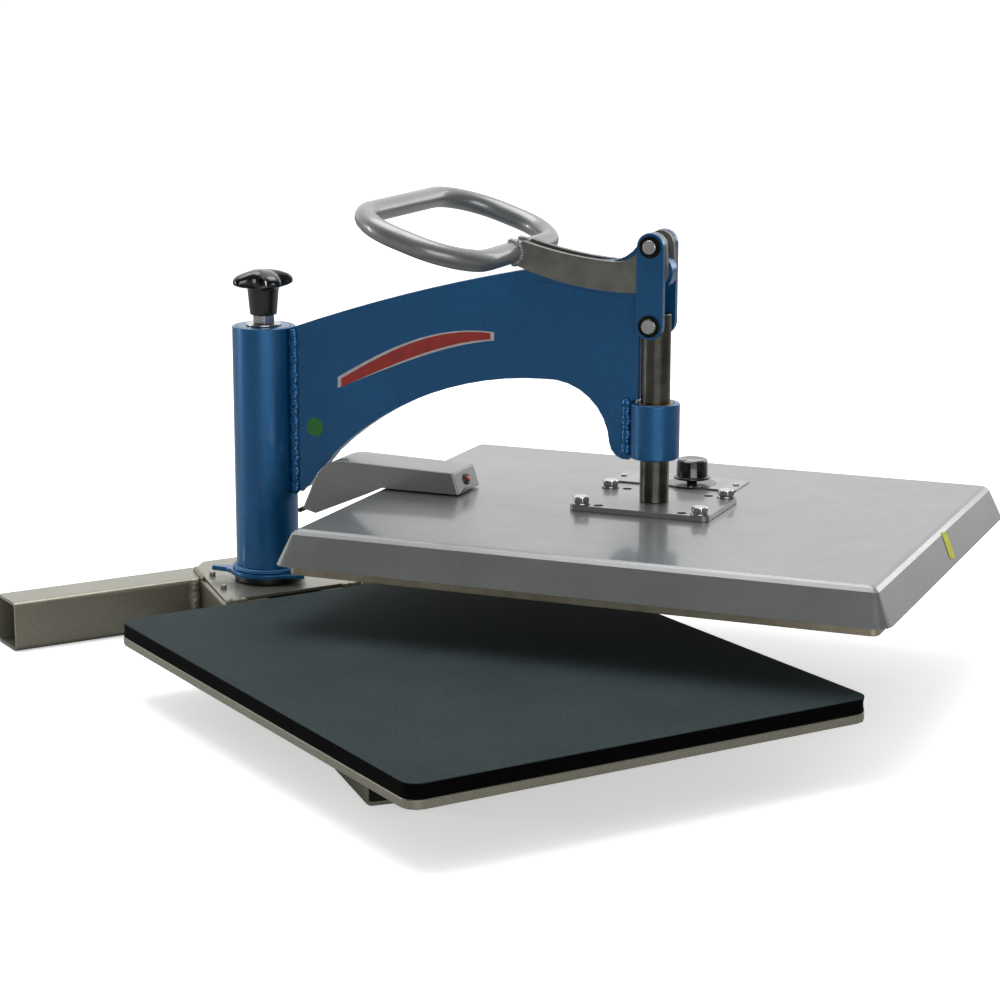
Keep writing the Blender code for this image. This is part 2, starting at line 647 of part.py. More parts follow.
def build_dial(platen, cover, finishes):
    """The thermostat under the cover, its scale plate on the cover and its knob."""
    centre = (DIAL_CENTRE[0] - ARM_REACH, DIAL_CENTRE[1])
    plate_centre = (DIAL_PLATE_CENTRE[0] - ARM_REACH, DIAL_PLATE_CENTRE[1], 0)
    low = COVER_TOP + GAP
    scale = prism(rounded_rectangle(*DIAL_PLATE, 0.003), low, DIAL_PLATE_TOP)
    plate = place("dial_plate", scale, finishes["black"], platen, plate_centre)
    for pierced in (plate, cover):
        drill(pierced, centre, 0.0055, COVER_TOP - 0.01, DIAL_PLATE_TOP + 0.01)
    for index, side in enumerate((-1, 1)):
        screw = [(0, GAP), (0.0032, GAP), (0.0028, 0.0012), (0, 0.0018)]
        spot = (plate_centre[0] + side * (DIAL_PLATE[0] / 2 - 0.006), plate_centre[1], DIAL_PLATE_TOP)
        place(f"dial_screw_{index + 1}", turned(screw, 12), finishes["zinc"], platen, spot)
    body_low, body_high = 0.1345, COVER_TOP - COVER_WALL - GAP
    body = rounded_rectangle(0.044, 0.034, 0.003, 3)
    shaft = circle_arc((0, 0), DIAL_SHAFT, 0, 337.5, 15)
    rings = [at_height(body, body_low), at_height(body, body_high), at_height(shaft, body_high)]
    rings += [at_height(shaft, 0.170)]
    place("thermostat_body", loft(rings), finishes["zinc"], platen, (*centre, 0))
    hinge = empty("dial_pivot", platen, (*centre, DIAL_PLATE_TOP))
    bore = DIAL_SHAFT + PIN_CLEARANCE
    knob = [(bore, 0.018), (bore, 0.0004), (0.0049, 0.0004), (0.0049, 0.0045), (0.0165, 0.0045)]
    knob += [(0.0168, 0.0062), (0.0143, 0.0076), (0.0139, 0.0222), (0.0124, 0.0236), (0, 0.0238)]
    rings = [at_height(circle(max(radius, 1e-4), ROUND), z) for radius, z in knob]
    place("thermostat_knob", loft(rings), finishes["black"], hinge)


def build_control_box(platen, finishes):
    """The control box with its pilot lamp, cord gland, edge trim and terminal block."""
    home = (-ARM_REACH, 0, 0)
    shell = plate_on_edge(box_outline(), BOX_LOW_V, BOX_HIGH_V)
    box = place("control_box", shell, finishes["silver"], platen, home)
    cut(box, box_hollow(), platen, home)
    middle = (BOX_LOW_V + BOX_HIGH_V) / 2
    lamp_tilt = math.atan2(0.006, 0.019)
    lamp_turn = (0, math.pi / 2 - lamp_tilt, 0)
    lamp_spot = (0.206 - ARM_REACH, middle, 0.163)
    gland_tilt = math.atan2(0.0065, 0.0145)
    gland_turn = (0, -(math.pi / 2 - gland_tilt), 0)
    gland_spot = (0.05675 - ARM_REACH, middle, 0.13475)
    for spot, turn in ((lamp_spot, lamp_turn), (gland_spot, gland_turn)):
        cut(box, cylinder(0.0043, -0.006, 0.004, SMALL_ROUND), platen, spot, turn)
    bezel = panel_bush(0.0054, 0.0040, 0.0028, 0.0018, 0.0060)
    place("pilot_bezel", bezel, finishes["black"], platen, lamp_spot, lamp_turn)
    lens = [(0, -0.0055), (0.0025, -0.0055), (0.0025, 0.0022), (0.0017, 0.0034), (0, 0.0039)]
    place("pilot_lens", turned(lens, SMALL_ROUND), finishes["red"], platen, lamp_spot, lamp_turn)
    gland = panel_bush(0.0060, 0.0040, 0.0030, 0.0024, 0.0060)
    place("cord_gland", gland, finishes["black"], platen, gland_spot, gland_turn)
    trim = circle(BOX_TRIM_RADIUS, SMALL_ROUND)
    place("box_edge_trim", prism(trim, BOX_LOW_V, BOX_HIGH_V), finishes["black"], platen,
          (0.0512 - ARM_REACH, 0, 0.1258), (-math.pi / 2, 0, 0))
    block = rounded_rectangle(0.040, 0.026, 0.001, 3)
    place("terminal_block", prism(block, COVER_TOP + GAP, 0.1708), finishes["black"], platen,
          (0.165 - ARM_REACH, middle, 0))


def main():
    clear_scene()
    finishes = {
        "blue": material("blue_paint", (0.03, 0.13, 0.30), 0.32, 0.55),
        "silver": material("silver_paint", (0.42, 0.42, 0.40), 0.30, 0.70),
        "grey_steel": material("grey_steel", (0.40, 0.40, 0.39), 0.38, 0.85),
        "oiled_steel": material("oiled_steel", (0.10, 0.10, 0.10), 0.35, 0.90),
        "zinc": material("zinc_plate", (0.62, 0.62, 0.60), 0.30, 1.00),
        "aluminium": material("cast_aluminium", (0.62, 0.61, 0.57), 0.45, 1.00),
        "bronze": material("bronze", (0.50, 0.33, 0.15), 0.40, 1.00),
        "black": material("black_plastic", (0.012, 0.012, 0.013), 0.25, 0.0),
        "foam": material("sponge_rubber", (0.020, 0.026, 0.030), 0.85, 0.0),
        "blanket": material("glass_wool", (0.75, 0.70, 0.55), 0.95, 0.0),
        "red": material("red_lens", (0.60, 0.02, 0.02), 0.15, 0.0),
    }
    build_base(finishes["silver"], finishes["oiled_steel"], finishes["black"], finishes["foam"])
    swing = empty("swing_pivot", None, (0, POST_Y, 0), (0, 0, PARKED_ANGLE - math.pi / 2))
    build_arm(swing, finishes["blue"], finishes["oiled_steel"], finishes["zinc"], finishes["bronze"],
              finishes["black"])
    lever = build_lever(swing, finishes["silver"], finishes["zinc"], finishes["grey_steel"])
    build_links(lever, finishes["blue"], finishes["zinc"], finishes["oiled_steel"])
    build_platen(swing, finishes)


main()
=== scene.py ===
"""A swing-away heat press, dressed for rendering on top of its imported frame.

The arm is parked to the right of the table. Pieces on the arm are drawn in the arm's own frame, with
+X along the arm, +Y across it and +Z up, and ARM_TO_WORLD takes them to the row's frame. Lengths are
in metres unless a name says mm.
"""

import json
import logging
import math
from contextlib import contextmanager
from dataclasses import dataclass
from enum import Enum
from typing import Callable, Iterator

import bmesh
import bpy
from mathutils import Matrix, Vector

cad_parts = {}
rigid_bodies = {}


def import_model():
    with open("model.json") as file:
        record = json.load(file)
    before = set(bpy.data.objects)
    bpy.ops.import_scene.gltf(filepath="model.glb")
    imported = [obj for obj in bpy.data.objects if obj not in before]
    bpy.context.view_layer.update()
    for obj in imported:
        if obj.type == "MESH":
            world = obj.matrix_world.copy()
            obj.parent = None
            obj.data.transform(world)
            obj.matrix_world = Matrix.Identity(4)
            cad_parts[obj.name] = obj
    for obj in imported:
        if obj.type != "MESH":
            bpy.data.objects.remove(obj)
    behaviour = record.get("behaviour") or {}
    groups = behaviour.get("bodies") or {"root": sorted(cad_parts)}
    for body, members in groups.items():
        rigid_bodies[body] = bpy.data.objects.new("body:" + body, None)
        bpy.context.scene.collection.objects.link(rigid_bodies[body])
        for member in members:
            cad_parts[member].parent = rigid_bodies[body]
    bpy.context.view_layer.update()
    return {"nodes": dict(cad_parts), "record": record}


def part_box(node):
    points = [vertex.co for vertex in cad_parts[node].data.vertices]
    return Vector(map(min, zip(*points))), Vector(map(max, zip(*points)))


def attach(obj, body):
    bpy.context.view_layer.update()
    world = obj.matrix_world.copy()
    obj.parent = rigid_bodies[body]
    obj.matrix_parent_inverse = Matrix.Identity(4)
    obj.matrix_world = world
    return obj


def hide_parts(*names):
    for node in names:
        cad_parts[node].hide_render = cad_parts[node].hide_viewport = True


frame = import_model()

POST_Y = -0.067
PARKED = math.radians(36.24)
ARM_TO_WORLD = Matrix.Translation((0, POST_Y, 0)) @ Matrix.Rotation(PARKED - math.pi / 2, 4, "Z")
WORLD = Matrix.Identity(4)
LOG = logging.getLogger("heat_press")
MULTIPLY = {"data_type": "RGBA", "blend_type": "MULTIPLY", 0: 1.0}
BODY_OF = {node: body for body, nodes in frame["record"]["behaviour"]["bodies"].items() for node in nodes}


class Side(Enum):
    """The two faces of the arm: the front one is towards the operator when the arm is parked."""

    FRONT = -1
    REAR = 1


# ---------------------------------------------------------------- materials

def linear(hex_colour: str) -> tuple[float, float, float, float]:
    """Turns an sRGB hex colour to a linear one.

    Args:
        hex_colour: six hex digits after a hash.

    Returns:
        Red, green, blue and alpha, in linear light.
    """
    parts = [int(hex_colour[i:i + 2], 16) / 255 for i in (1, 3, 5)]
    channels = [c / 12.92 if c <= 0.04045 else ((c + 0.055) / 1.055) ** 2.4 for c in parts]
    return (*channels, 1.0)


def per_metre(size_mm: float) -> float:
    """The pattern scale that gives features of this size on Object coordinates."""
    return 1000.0 / size_mm


def add_node(tree: bpy.types.NodeTree, kind: str, settings: dict | None = None,
             links: dict | None = None) -> bpy.types.Node:
    """Adds a node with its settings and its incoming links.

    Args:
        tree: the node tree.
        kind: the node's type.
        settings: attribute names, or input names or numbers, to their values. A colour ramp also takes stops,
            which are (place, colour) pairs, at least two.
        links: input names or numbers to (node, output name or number).

    Returns:
        The new node.
    """
    node = tree.nodes.new(kind)
    for key, value in (settings or {}).items():
        if key == "stops":
            set_stops(node.color_ramp.elements, value)
        elif isinstance(key, str) and hasattr(node, key):
            setattr(node, key, value)
        else:
            node.inputs[key].default_value = value
    for key, (source, output) in (links or {}).items():
        tree.links.new(source.outputs[output], node.inputs[key])
    return node


def set_stops(elements: bpy.types.ColorRampElements, stops: list[tuple[float, tuple]]) -> None:
    """Gives a colour ramp its stops.

    Args:
        elements: the ramp's own stops.
        stops: (place, colour) pairs, at least two.
    """
    while len(elements) < len(stops):
        elements.new(0.5)
    for element, (place, colour) in zip(elements, stops):
        element.position = place
        element.color = colour


def grey(value: float) -> tuple[float, float, float, float]:
    """A linear grey."""
    return (value, value, value, 1.0)


@dataclass(frozen=True)
class Finish:
    """What every finish shares: a name, the record's slot and an empty shader to fill in."""

    name: str
    slot: str

    def start(self, values: dict) -> tuple[bpy.types.Material, bpy.types.NodeTree, bpy.types.Node, dict]:
        """Makes the material with its uniform values on the shader's own sockets.

        Args:
            values: Principled input names to values.

        Returns:
            The material, its tree, its shader, and the links that read Object coordinates.
        """
        made = bpy.data.materials.new(self.name)
        made.use_nodes = True
        tree = made.node_tree
        tree.nodes.clear()
        shader = add_node(tree, "ShaderNodeBsdfPrincipled", values)
        add_node(tree, "ShaderNodeOutputMaterial", links={"Surface": (shader, "BSDF")})
        place = add_node(tree, "ShaderNodeTexCoord")
        return made, tree, shader, {"Vector": (place, "Object")}

    def material(self) -> bpy.types.Material:
        """The finished material, built once."""
        known = bpy.data.materials.get(self.name)
        return known if known else self.build()

    def build(self) -> bpy.types.Material:
        """Builds the material; each finish has its own."""
        raise NotImplementedError


@dataclass(frozen=True)
class MetallicPaint(Finish):
    """Sprayed metallic paint: tiny aluminium flakes under a clear film, with a faint orange peel."""

    base: str = "#808080"
    flake: str = "#a0a0a0"
    metallic: float = 0.6
    roughness: float = 0.3
    coat: float = 0.4
    peel: float = 0.06

    def build(self) -> bpy.types.Material:
        """Builds the paint.

        Returns:
            The material.
        """
        values = {"Metallic": self.metallic, "Coat Weight": self.coat, "Coat Roughness": 0.09}
        made, tree, shader, where = self.start(values)
        # Flakes are 0.05 mm across and too fine to show, so their sparkle is drawn at 0.9 mm.
        flakes = add_node(tree, "ShaderNodeTexVoronoi", {"Scale": per_metre(0.9)}, where)
        cloud = add_node(tree, "ShaderNodeTexNoise", {"Scale": per_metre(60), "Detail": 3.0}, where)
        sparkle = add_node(tree, "ShaderNodeValToRGB",
                           {"stops": [(0.25, linear(self.base)), (0.85, linear(self.flake))]},
                           {"Fac": (flakes, "Color")})
        drift = add_node(tree, "ShaderNodeValToRGB", {"stops": [(0.35, grey(0.90)), (0.68, grey(1.0))]},
                         {"Fac": (cloud, "Fac")})
        paint = add_node(tree, "ShaderNodeMix", MULTIPLY, {6: (sparkle, "Color"), 7: (drift, "Color")})
        tree.links.new(paint.outputs[2], shader.inputs["Base Color"])
        # Rubbed and dusty patches, a few centimetres wide, break up the gloss.
        rub = add_node(tree, "ShaderNodeTexNoise",
                       {"Scale": per_metre(24), "Detail": 6.0, "Roughness": 0.65}, where)
        gloss = add_node(tree, "ShaderNodeMapRange",
                         {3: self.roughness * 0.85, 4: self.roughness * 1.25}, {0: (rub, "Fac")})
        tree.links.new(gloss.outputs[0], shader.inputs["Roughness"])
        # Orange peel is about 2.5 mm from crest to crest.
        peel = add_node(tree, "ShaderNodeTexNoise", {"Scale": per_metre(2.5), "Detail": 1.0}, where)
        bump = add_node(tree, "ShaderNodeBump", {"Strength": self.peel, "Distance": 0.0004},
                        {"Height": (peel, "Fac")})
        tree.links.new(bump.outputs["Normal"], shader.inputs["Normal"])
        return made


@dataclass(frozen=True)
class BrushedMetal(Finish):
    """Bare metal with fine drawn or ground lines, and darker handling marks."""

    base: str = "#808080"
    mark: str = "#606060"
    roughness: float = 0.35
    line_mm: tuple[float, float, float] = (0.5, 0.5, 12.0)
    line_depth: float = 0.15
    angle: float = 0.0

    def build(self) -> bpy.types.Material:
        """Builds the metal.

        Returns:
            The material.
        """
        made, tree, shader, where = self.start({"Metallic": 1.0})
        # Lines run along the axis with the longest spacing, turned with the arm where they need to be.
        lay = add_node(tree, "ShaderNodeMapping",
                       {"Rotation": (0.0, 0.0, self.angle),
                        "Scale": tuple(per_metre(mm) for mm in self.line_mm)}, where)
        lines = add_node(tree, "ShaderNodeTexNoise", {"Scale": 1.0, "Detail": 3.0},
                         {"Vector": (lay, "Vector")})
        marks = add_node(tree, "ShaderNodeTexNoise", {"Scale": per_metre(18), "Detail": 5.0}, where)
        tone = add_node(tree, "ShaderNodeValToRGB",
                        {"stops": [(0.35, linear(self.mark)), (0.62, linear(self.base))]},
                        {"Fac": (marks, "Fac")})
        streak = add_node(tree, "ShaderNodeValToRGB", {"stops": [(0.3, grey(0.80)), (0.7, grey(1.0))]},
                          {"Fac": (lines, "Fac")})
        mixed = add_node(tree, "ShaderNodeMix", MULTIPLY, {6: (tone, "Color"), 7: (streak, "Color")})
        tree.links.new(mixed.outputs[2], shader.inputs["Base Color"])
        gloss = add_node(tree, "ShaderNodeMapRange", {3: self.roughness * 0.8, 4: self.roughness * 1.3},
                         {0: (lines, "Fac")})
        tree.links.new(gloss.outputs[0], shader.inputs["Roughness"])
        bump = add_node(tree, "ShaderNodeBump", {"Strength": self.line_depth, "Distance": 0.0002},
                        {"Height": (lines, "Fac")})
        tree.links.new(bump.outputs["Normal"], shader.inputs["Normal"])
        return made


@dataclass(frozen=True)
class Moulding(Finish):
    """Moulded plastic or rubber: even colour, a fine grain and soft dusty patches."""

    base: str = "#141414"
    dust: str = "#242424"
    roughness: float = 0.3
    grain_mm: float = 0.8
    grain: float = 0.05
    coat: float = 0.0

    def build(self) -> bpy.types.Material:
        """Builds the moulding.

        Returns:
            The material.
        """
        made, tree, shader, where = self.start({"Metallic": 0.0, "IOR": 1.49, "Coat Weight": self.coat})
        patches = add_node(tree, "ShaderNodeTexNoise",
                           {"Scale": per_metre(14), "Detail": 5.0, "Roughness": 0.6}, where)
        tone = add_node(tree, "ShaderNodeValToRGB",
                        {"stops": [(0.45, linear(self.base)), (0.80, linear(self.dust))]},
                        {"Fac": (patches, "Fac")})
        tree.links.new(tone.outputs["Color"], shader.inputs["Base Color"])
        gloss = add_node(tree, "ShaderNodeMapRange", {3: self.roughness * 0.8, 4: self.roughness * 1.3},
                         {0: (patches, "Fac")})
        tree.links.new(gloss.outputs[0], shader.inputs["Roughness"])
        grains = add_node(tree, "ShaderNodeTexNoise", {"Scale": per_metre(self.grain_mm), "Detail": 2.0},
                          where)
        bump = add_node(tree, "ShaderNodeBump", {"Strength": self.grain, "Distance": 0.0003},
                        {"Height": (grains, "Fac")})
        tree.links.new(bump.outputs["Normal"], shader.inputs["Normal"])
        return made


@dataclass(frozen=True)
class SpongePad(Finish):
    """Closed-cell silicone sponge: a skinned top with fine speckle, and cut sides with open cells, their
    near-black colour painted shade.
    """

    top: str = "#30383a"
    speckle: str = "#3a4345"
    # The cut sides' colour is painted shade: the open cells darken them a little, and the rest is the shade
    # that the pad's sides stand in.
    side: str = "#020302"
    top_z: float = 0.0657

    def build(self) -> bpy.types.Material:
        """Builds the sponge.

        Returns:
            The material.
        """
        made, tree, shader, where = self.start({"Metallic": 0.0, "IOR": 1.41, "Specular IOR Level": 0.05})
        # Skin speckle is 0.6 mm, drawn at 1.4 mm so that it shows.
        fine = add_node(tree, "ShaderNodeTexNoise", {"Scale": per_metre(1.4), "Detail": 2.0}, where)
        wide = add_node(tree, "ShaderNodeTexNoise", {"Scale": per_metre(90), "Detail": 4.0}, where)
        skin = add_node(tree, "ShaderNodeValToRGB",
                        {"stops": [(0.30, linear(self.top)), (0.70, linear(self.speckle))]},
                        {"Fac": (fine, "Fac")})
        worn = add_node(tree, "ShaderNodeValToRGB", {"stops": [(0.35, grey(0.88)), (0.70, grey(1.06))]},
                        {"Fac": (wide, "Fac")})
        face = add_node(tree, "ShaderNodeMix", MULTIPLY, {6: (skin, "Color"), 7: (worn, "Color")})
        # Faces below the top take the side colour, which is painted shade on the pad's sides.
        split = add_node(tree, "ShaderNodeSeparateXYZ", links=where)
        above = add_node(tree, "ShaderNodeMapRange", {1: self.top_z - 0.0004, 2: self.top_z},
                         {0: (split, "Z")})
        skin_or_painted_shade = add_node(tree, "ShaderNodeMix", {"data_type": "RGBA", 6: linear(self.side)},
                        {0: (above, 0), 7: (face, 2)})
        tree.links.new(skin_or_painted_shade.outputs[2], shader.inputs["Base Color"])
        gloss = add_node(tree, "ShaderNodeMapRange", {3: 0.62, 4: 0.80}, {0: (wide, "Fac")})
        tree.links.new(gloss.outputs[0], shader.inputs["Roughness"])
        cells = add_node(tree, "ShaderNodeTexVoronoi", {"Scale": per_metre(1.1)}, where)
        bump = add_node(tree, "ShaderNodeBump", {"Strength": 0.12, "Distance": 0.0004},
                        {"Height": (cells, "Distance")})
        tree.links.new(bump.outputs["Normal"], shader.inputs["Normal"])
        return made


@dataclass(frozen=True)
class FlatInk(Finish):
    """Printed vinyl or paint mask: a thin even film with a slight sheen."""

    ink: str = "#a02020"
    fade: str = "#8c1c1c"
    roughness: float = 0.35

    def build(self) -> bpy.types.Material:
        """Builds the film.

        Returns:
            The material.
        """
        made, tree, shader, where = self.start({"Metallic": 0.0, "IOR": 1.5, "Roughness": self.roughness})
        mottle = add_node(tree, "ShaderNodeTexNoise", {"Scale": per_metre(7), "Detail": 4.0}, where)
        tone = add_node(tree, "ShaderNodeValToRGB",
                        {"stops": [(0.35, linear(self.fade)), (0.65, linear(self.ink))]},
                        {"Fac": (mottle, "Fac")})
        tree.links.new(tone.outputs["Color"], shader.inputs["Base Color"])
        bump = add_node(tree, "ShaderNodeBump", {"Strength": 0.05, "Distance": 0.0002},
                        {"Height": (mottle, "Fac")})
        tree.links.new(bump.outputs["Normal"], shader.inputs["Normal"])
        return made


ARM_BLUE = MetallicPaint("metallic_blue_powder_coat", "blue_paint", "#0b5484", "#126096", 0.55, 0.34, 0.35,
                         0.06)
SILVER = MetallicPaint("silver_metallic_paint", "silver_paint", "#7f8180", "#868887", 0.55, 0.36, 0.45, 0.03)
FRAME_SILVER = MetallicPaint("silver_frame_paint", "silver_paint", "#838171", "#918f80", 0.60, 0.36, 0.25,
                             0.07)
CHEEK_STEEL = BrushedMetal("ground_flat_steel", "grey_steel", "#8b8b86", "#7d7d78", 0.46, (0.6, 0.6, 0.6),
                           0.08)
ROD_STEEL = BrushedMetal("oiled_ground_shaft", "oiled_steel", "#5c5d55", "#45463f", 0.27, (0.7, 0.7, 40.0),
                         0.12)
DARK_STEEL = BrushedMetal("black_oxide_steel", "oiled_steel", "#2b2b2a", "#1e1e1d", 0.42, (0.8, 0.8, 0.8),
                          0.10)
ZINC = BrushedMetal("bright_zinc_plate", "zinc_plate", "#cfd0ce", "#bcbdbb", 0.26, (0.7, 0.7, 0.7), 0.05)
DIAL_METAL = BrushedMetal("satin_aluminium_plate", "zinc_plate", "#a2a4a3", "#929493", 0.20, (0.7, 0.7, 0.7),
                          0.03)
MACHINED = BrushedMetal("machined_cast_aluminium", "cast_aluminium", "#b5ae98", "#a39b85", 0.40,
                        (14.0, 0.7, 0.7), 0.16, math.pi / 2 - PARKED)
BRONZE = BrushedMetal("sintered_bronze", "bronze", "#b78a4c", "#93703c", 0.42, (0.8, 0.8, 0.8), 0.12)
KNOB_BLACK = Moulding("gloss_phenolic_moulding", "black_plastic", "#0a0c0e", "#101315", 0.16, 1.2, 0.02, 0.3)
SATIN_BLACK = Moulding("satin_black_nylon", "black_plastic", "#0b0c0e", "#131415", 0.42, 0.8, 0.08)
WASHER_BLACK = Moulding("oiled_nylon_washer", "black_plastic", "#08090b", "#101214", 0.34, 1.0, 0.04)
GLASS_WOOL = Moulding("glass_fibre_blanket", "glass_wool", "#cfc49a", "#b7ab80", 0.95, 1.6, 0.6)
RED_LENS = Moulding("red_acrylic_lens", "red_lens", "#b21810", "#d02a1c", 0.10, 1.0, 0.02, 0.6)
SPONGE = SpongePad("silicone_sponge", "sponge_rubber")
STRIPE_RED = FlatInk("red_vinyl_film", "blue_paint", "#9c2b24", "#8a2721", 0.45)
STRIPE_PALE = FlatInk("pale_vinyl_film", "blue_paint", "#b9b4b2", "#aaa6a4", 0.45)
DOT_GREEN = FlatInk("green_vinyl_film", "blue_paint", "#2f7a35", "#276b2d", 0.45)
LABEL_YELLOW = FlatInk("yellow_paper_label", "silver_paint", "#c9cc22", "#b9bc1a", 0.55)
PRINT_WHITE = FlatInk("white_screen_print", "black_plastic", "#dcdcd8", "#cfcfcb", 0.45)
PRINT_DARK = FlatInk("dark_grey_screen_print", "black_plastic", "#3a3c3d", "#333536", 0.16)


# ---------------------------------------------------------------- mesh tools

SHEET_EDGE = 0.0022     # a face narrower than this is the cut edge of a sheet


def active() -> bpy.types.Object:
    """The object being modelled."""
    return bpy.context.view_layer.objects.active


def select_only(*pieces: bpy.types.Object) -> None:
    """Selects these objects and nothing else, the first one active.

    Args:
        pieces: the objects, at least one.
    """
    clear_selection()
    for piece in pieces:
        piece.select_set(True)
    bpy.context.view_layer.objects.active = pieces[0]


def clear_selection() -> None:
    """Leaves nothing selected, so that an operator acts on the new piece only."""
    for other in bpy.context.view_layer.objects:
        other.select_set(False)


def select_faces(piece: bpy.types.Object, wanted: Callable[[bpy.types.MeshPolygon], bool]) -> int:
    """Selects faces in object mode.

    Args:
        piece: the mesh object.
        wanted: says whether a face is to be selected.

    Returns:
        How many faces were selected.
    """
    mesh = piece.data
    for group in (mesh.vertices, mesh.edges):
        group.foreach_set("select", [False] * len(group))
    count = 0
    for face in mesh.polygons:
        face.select = bool(wanted(face))
        count += face.select
    return count


def edit(piece: bpy.types.Object, select_mode: str = "FACE") -> None:
    """Goes into edit mode on a piece.

    Args:
        piece: the mesh object.
        select_mode: VERT, EDGE or FACE.
    """
    select_only(piece)
    bpy.ops.object.mode_set(mode="EDIT")
    bpy.ops.mesh.select_mode(type=select_mode)


def leave_edit() -> None:
    """Comes back to object mode."""
    bpy.ops.object.mode_set(mode="OBJECT")


@contextmanager
def editing(piece: bpy.types.Object,
            wanted: Callable[[bpy.types.MeshPolygon], bool] | None = None) -> Iterator[None]:
    """Holds a piece in edit mode, with all of it selected or only some faces.

    Args:
        piece: the mesh object.
        wanted: says whether a face is to be selected; without it, everything is.

    Yields:
        Nothing; the piece is in edit mode meanwhile.
    """
    if wanted:
        select_faces(piece, wanted)
        edit(piece)
    else:
        edit(piece, "VERT")
        bpy.ops.mesh.select_all(action="SELECT")
    yield
    leave_edit()


def apply_place(piece: bpy.types.Object) -> None:
    """Puts an object's place, turn and scale into its mesh."""
    select_only(piece)
    bpy.ops.object.transform_apply(location=True, rotation=True, scale=True)


def add_block(size: tuple[float, float, float],
              centre: tuple[float, float, float] = (0.0, 0.0, 0.0)) -> bpy.types.Object:
    """Adds a plain block, to be shaped further.

    Args:
        size: its sides.
        centre: its middle.

    Returns:
        The block.
    """
    clear_selection()
    bpy.ops.mesh.primitive_cube_add(size=1, location=centre)
    piece = active()
    piece.scale = size
    apply_place(piece)
    return piece


def apply_modifier(piece: bpy.types.Object, kind: str, **settings: object) -> None:
    """Adds a modifier and applies it at once.

    Args:
        piece: the object.
        kind: the modifier's type.
        settings: its attributes.
    """
    select_only(piece)
    modifier = piece.modifiers.new(kind.lower(), kind)
    for key, value in settings.items():
        setattr(modifier, key, value)
    bpy.ops.object.modifier_apply(modifier=modifier.name)


def round_edges(piece: bpy.types.Object, width: float, segments: int = 3, angle: float = 35.0) -> None:
    """Rounds every edge sharper than angle, in degrees."""
    apply_modifier(piece, "BEVEL", width=width, segments=segments, limit_method="ANGLE",
                   angle_limit=math.radians(angle), use_clamp_overlap=True, miter_outer="MITER_ARC")


def round_folds(piece: bpy.types.Object, width: float, segments: int, angle: float) -> None:
    """Rounds the outer folds of a sheet-metal piece, and leaves the sheet's thin edges as they are cut.

    Args:
        piece: the piece.
        width: width of the rounding.
        segments: steps across the rounding.
        angle: only edges sharper than this are rounded, in degrees.
    """
    shape = bmesh.new()
    shape.from_mesh(piece.data)
    middle = sum((Vector(corner) for corner in piece.bound_box), Vector()) / 8
    weight = shape.edges.layers.float.new("bevel_weight_edge")

    def outside(face: bmesh.types.BMFace) -> bool:
        """Says whether a face is broad, and looks away from the middle."""
        breadth = face.calc_area() / max(edge.calc_length() for edge in face.edges)
        return (face.calc_center_median() - middle).dot(face.normal) > 0 and breadth > SHEET_EDGE

    for edge in shape.edges:
        sharp = len(edge.link_faces) == 2 and edge.calc_face_angle() > math.radians(angle)
        edge[weight] = float(sharp and all(outside(face) for face in edge.link_faces))
    shape.to_mesh(piece.data)
    shape.free()
    apply_modifier(piece, "BEVEL", width=width, segments=segments, limit_method="WEIGHT",
                   use_clamp_overlap=True, miter_outer="MITER_ARC")


def smooth(piece: bpy.types.Object, angle: float = 38.0) -> None:
    """Shades a piece smooth except across edges sharper than angle, in degrees."""
    select_only(piece)
    bpy.ops.object.shade_smooth_by_angle(angle=math.radians(angle))


def keep_flats_flat(piece: bpy.types.Object) -> None:
    """Lets each wide face rule the shading of its own rim, so that rounded edges leave it flat."""
    apply_modifier(piece, "WEIGHTED_NORMAL", keep_sharp=True, weight=60)


def settle(piece: bpy.types.Object, to_world: Matrix) -> None:
    """Puts a piece's place into its mesh and leaves its object at the origin, unturned.

    Args:
        piece: the object.
        to_world: takes the frame it was drawn in to the row's frame.
    """
    piece.data.transform(to_world @ piece.matrix_world)
    if (to_world @ piece.matrix_world).determinant() < 0:
        piece.data.flip_normals()
    piece.matrix_world = Matrix.Identity(4)


def dress(piece: bpy.types.Object, finish: Finish) -> None:
    """Gives a piece one finish all over."""
    piece.data.materials.clear()
    piece.data.materials.append(finish.material())


def finish_piece(piece: bpy.types.Object, name: str, finish: Finish, body: str,
                 to_world: Matrix = WORLD) -> bpy.types.Object:
    """Names, places, dresses and mounts a modelled piece.

    Args:
        piece: the modelled object.
        name: its name.
        finish: its finish.
        body: the moving body that it rides on.
        to_world: takes the frame it was drawn in to the row's frame.

    Returns:
        The piece.
    """
    piece.name = name
    piece.data.name = name
    settle(piece, to_world)
    dress(piece, finish)
    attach(piece, body)
    LOG.info("%s: %d faces", name, len(piece.data.polygons))
    return piece


def copy_node(node: str) -> bpy.types.Object:
    """Copies a CAD node's mesh into a new object, its doubles merged and its flats made whole.

    Args:
        node: the CAD node's name.

    Returns:
        The copy.
    """
    source = frame["nodes"][node]
    piece = bpy.data.objects.new(f"{node}_copy", source.data.copy())
    bpy.context.scene.collection.objects.link(piece)
    with editing(piece):
        bpy.ops.mesh.remove_doubles(threshold=1e-5)
        bpy.ops.mesh.customdata_custom_splitnormals_clear()
        bpy.ops.mesh.dissolve_limited(angle_limit=math.radians(0.6))
    return piece


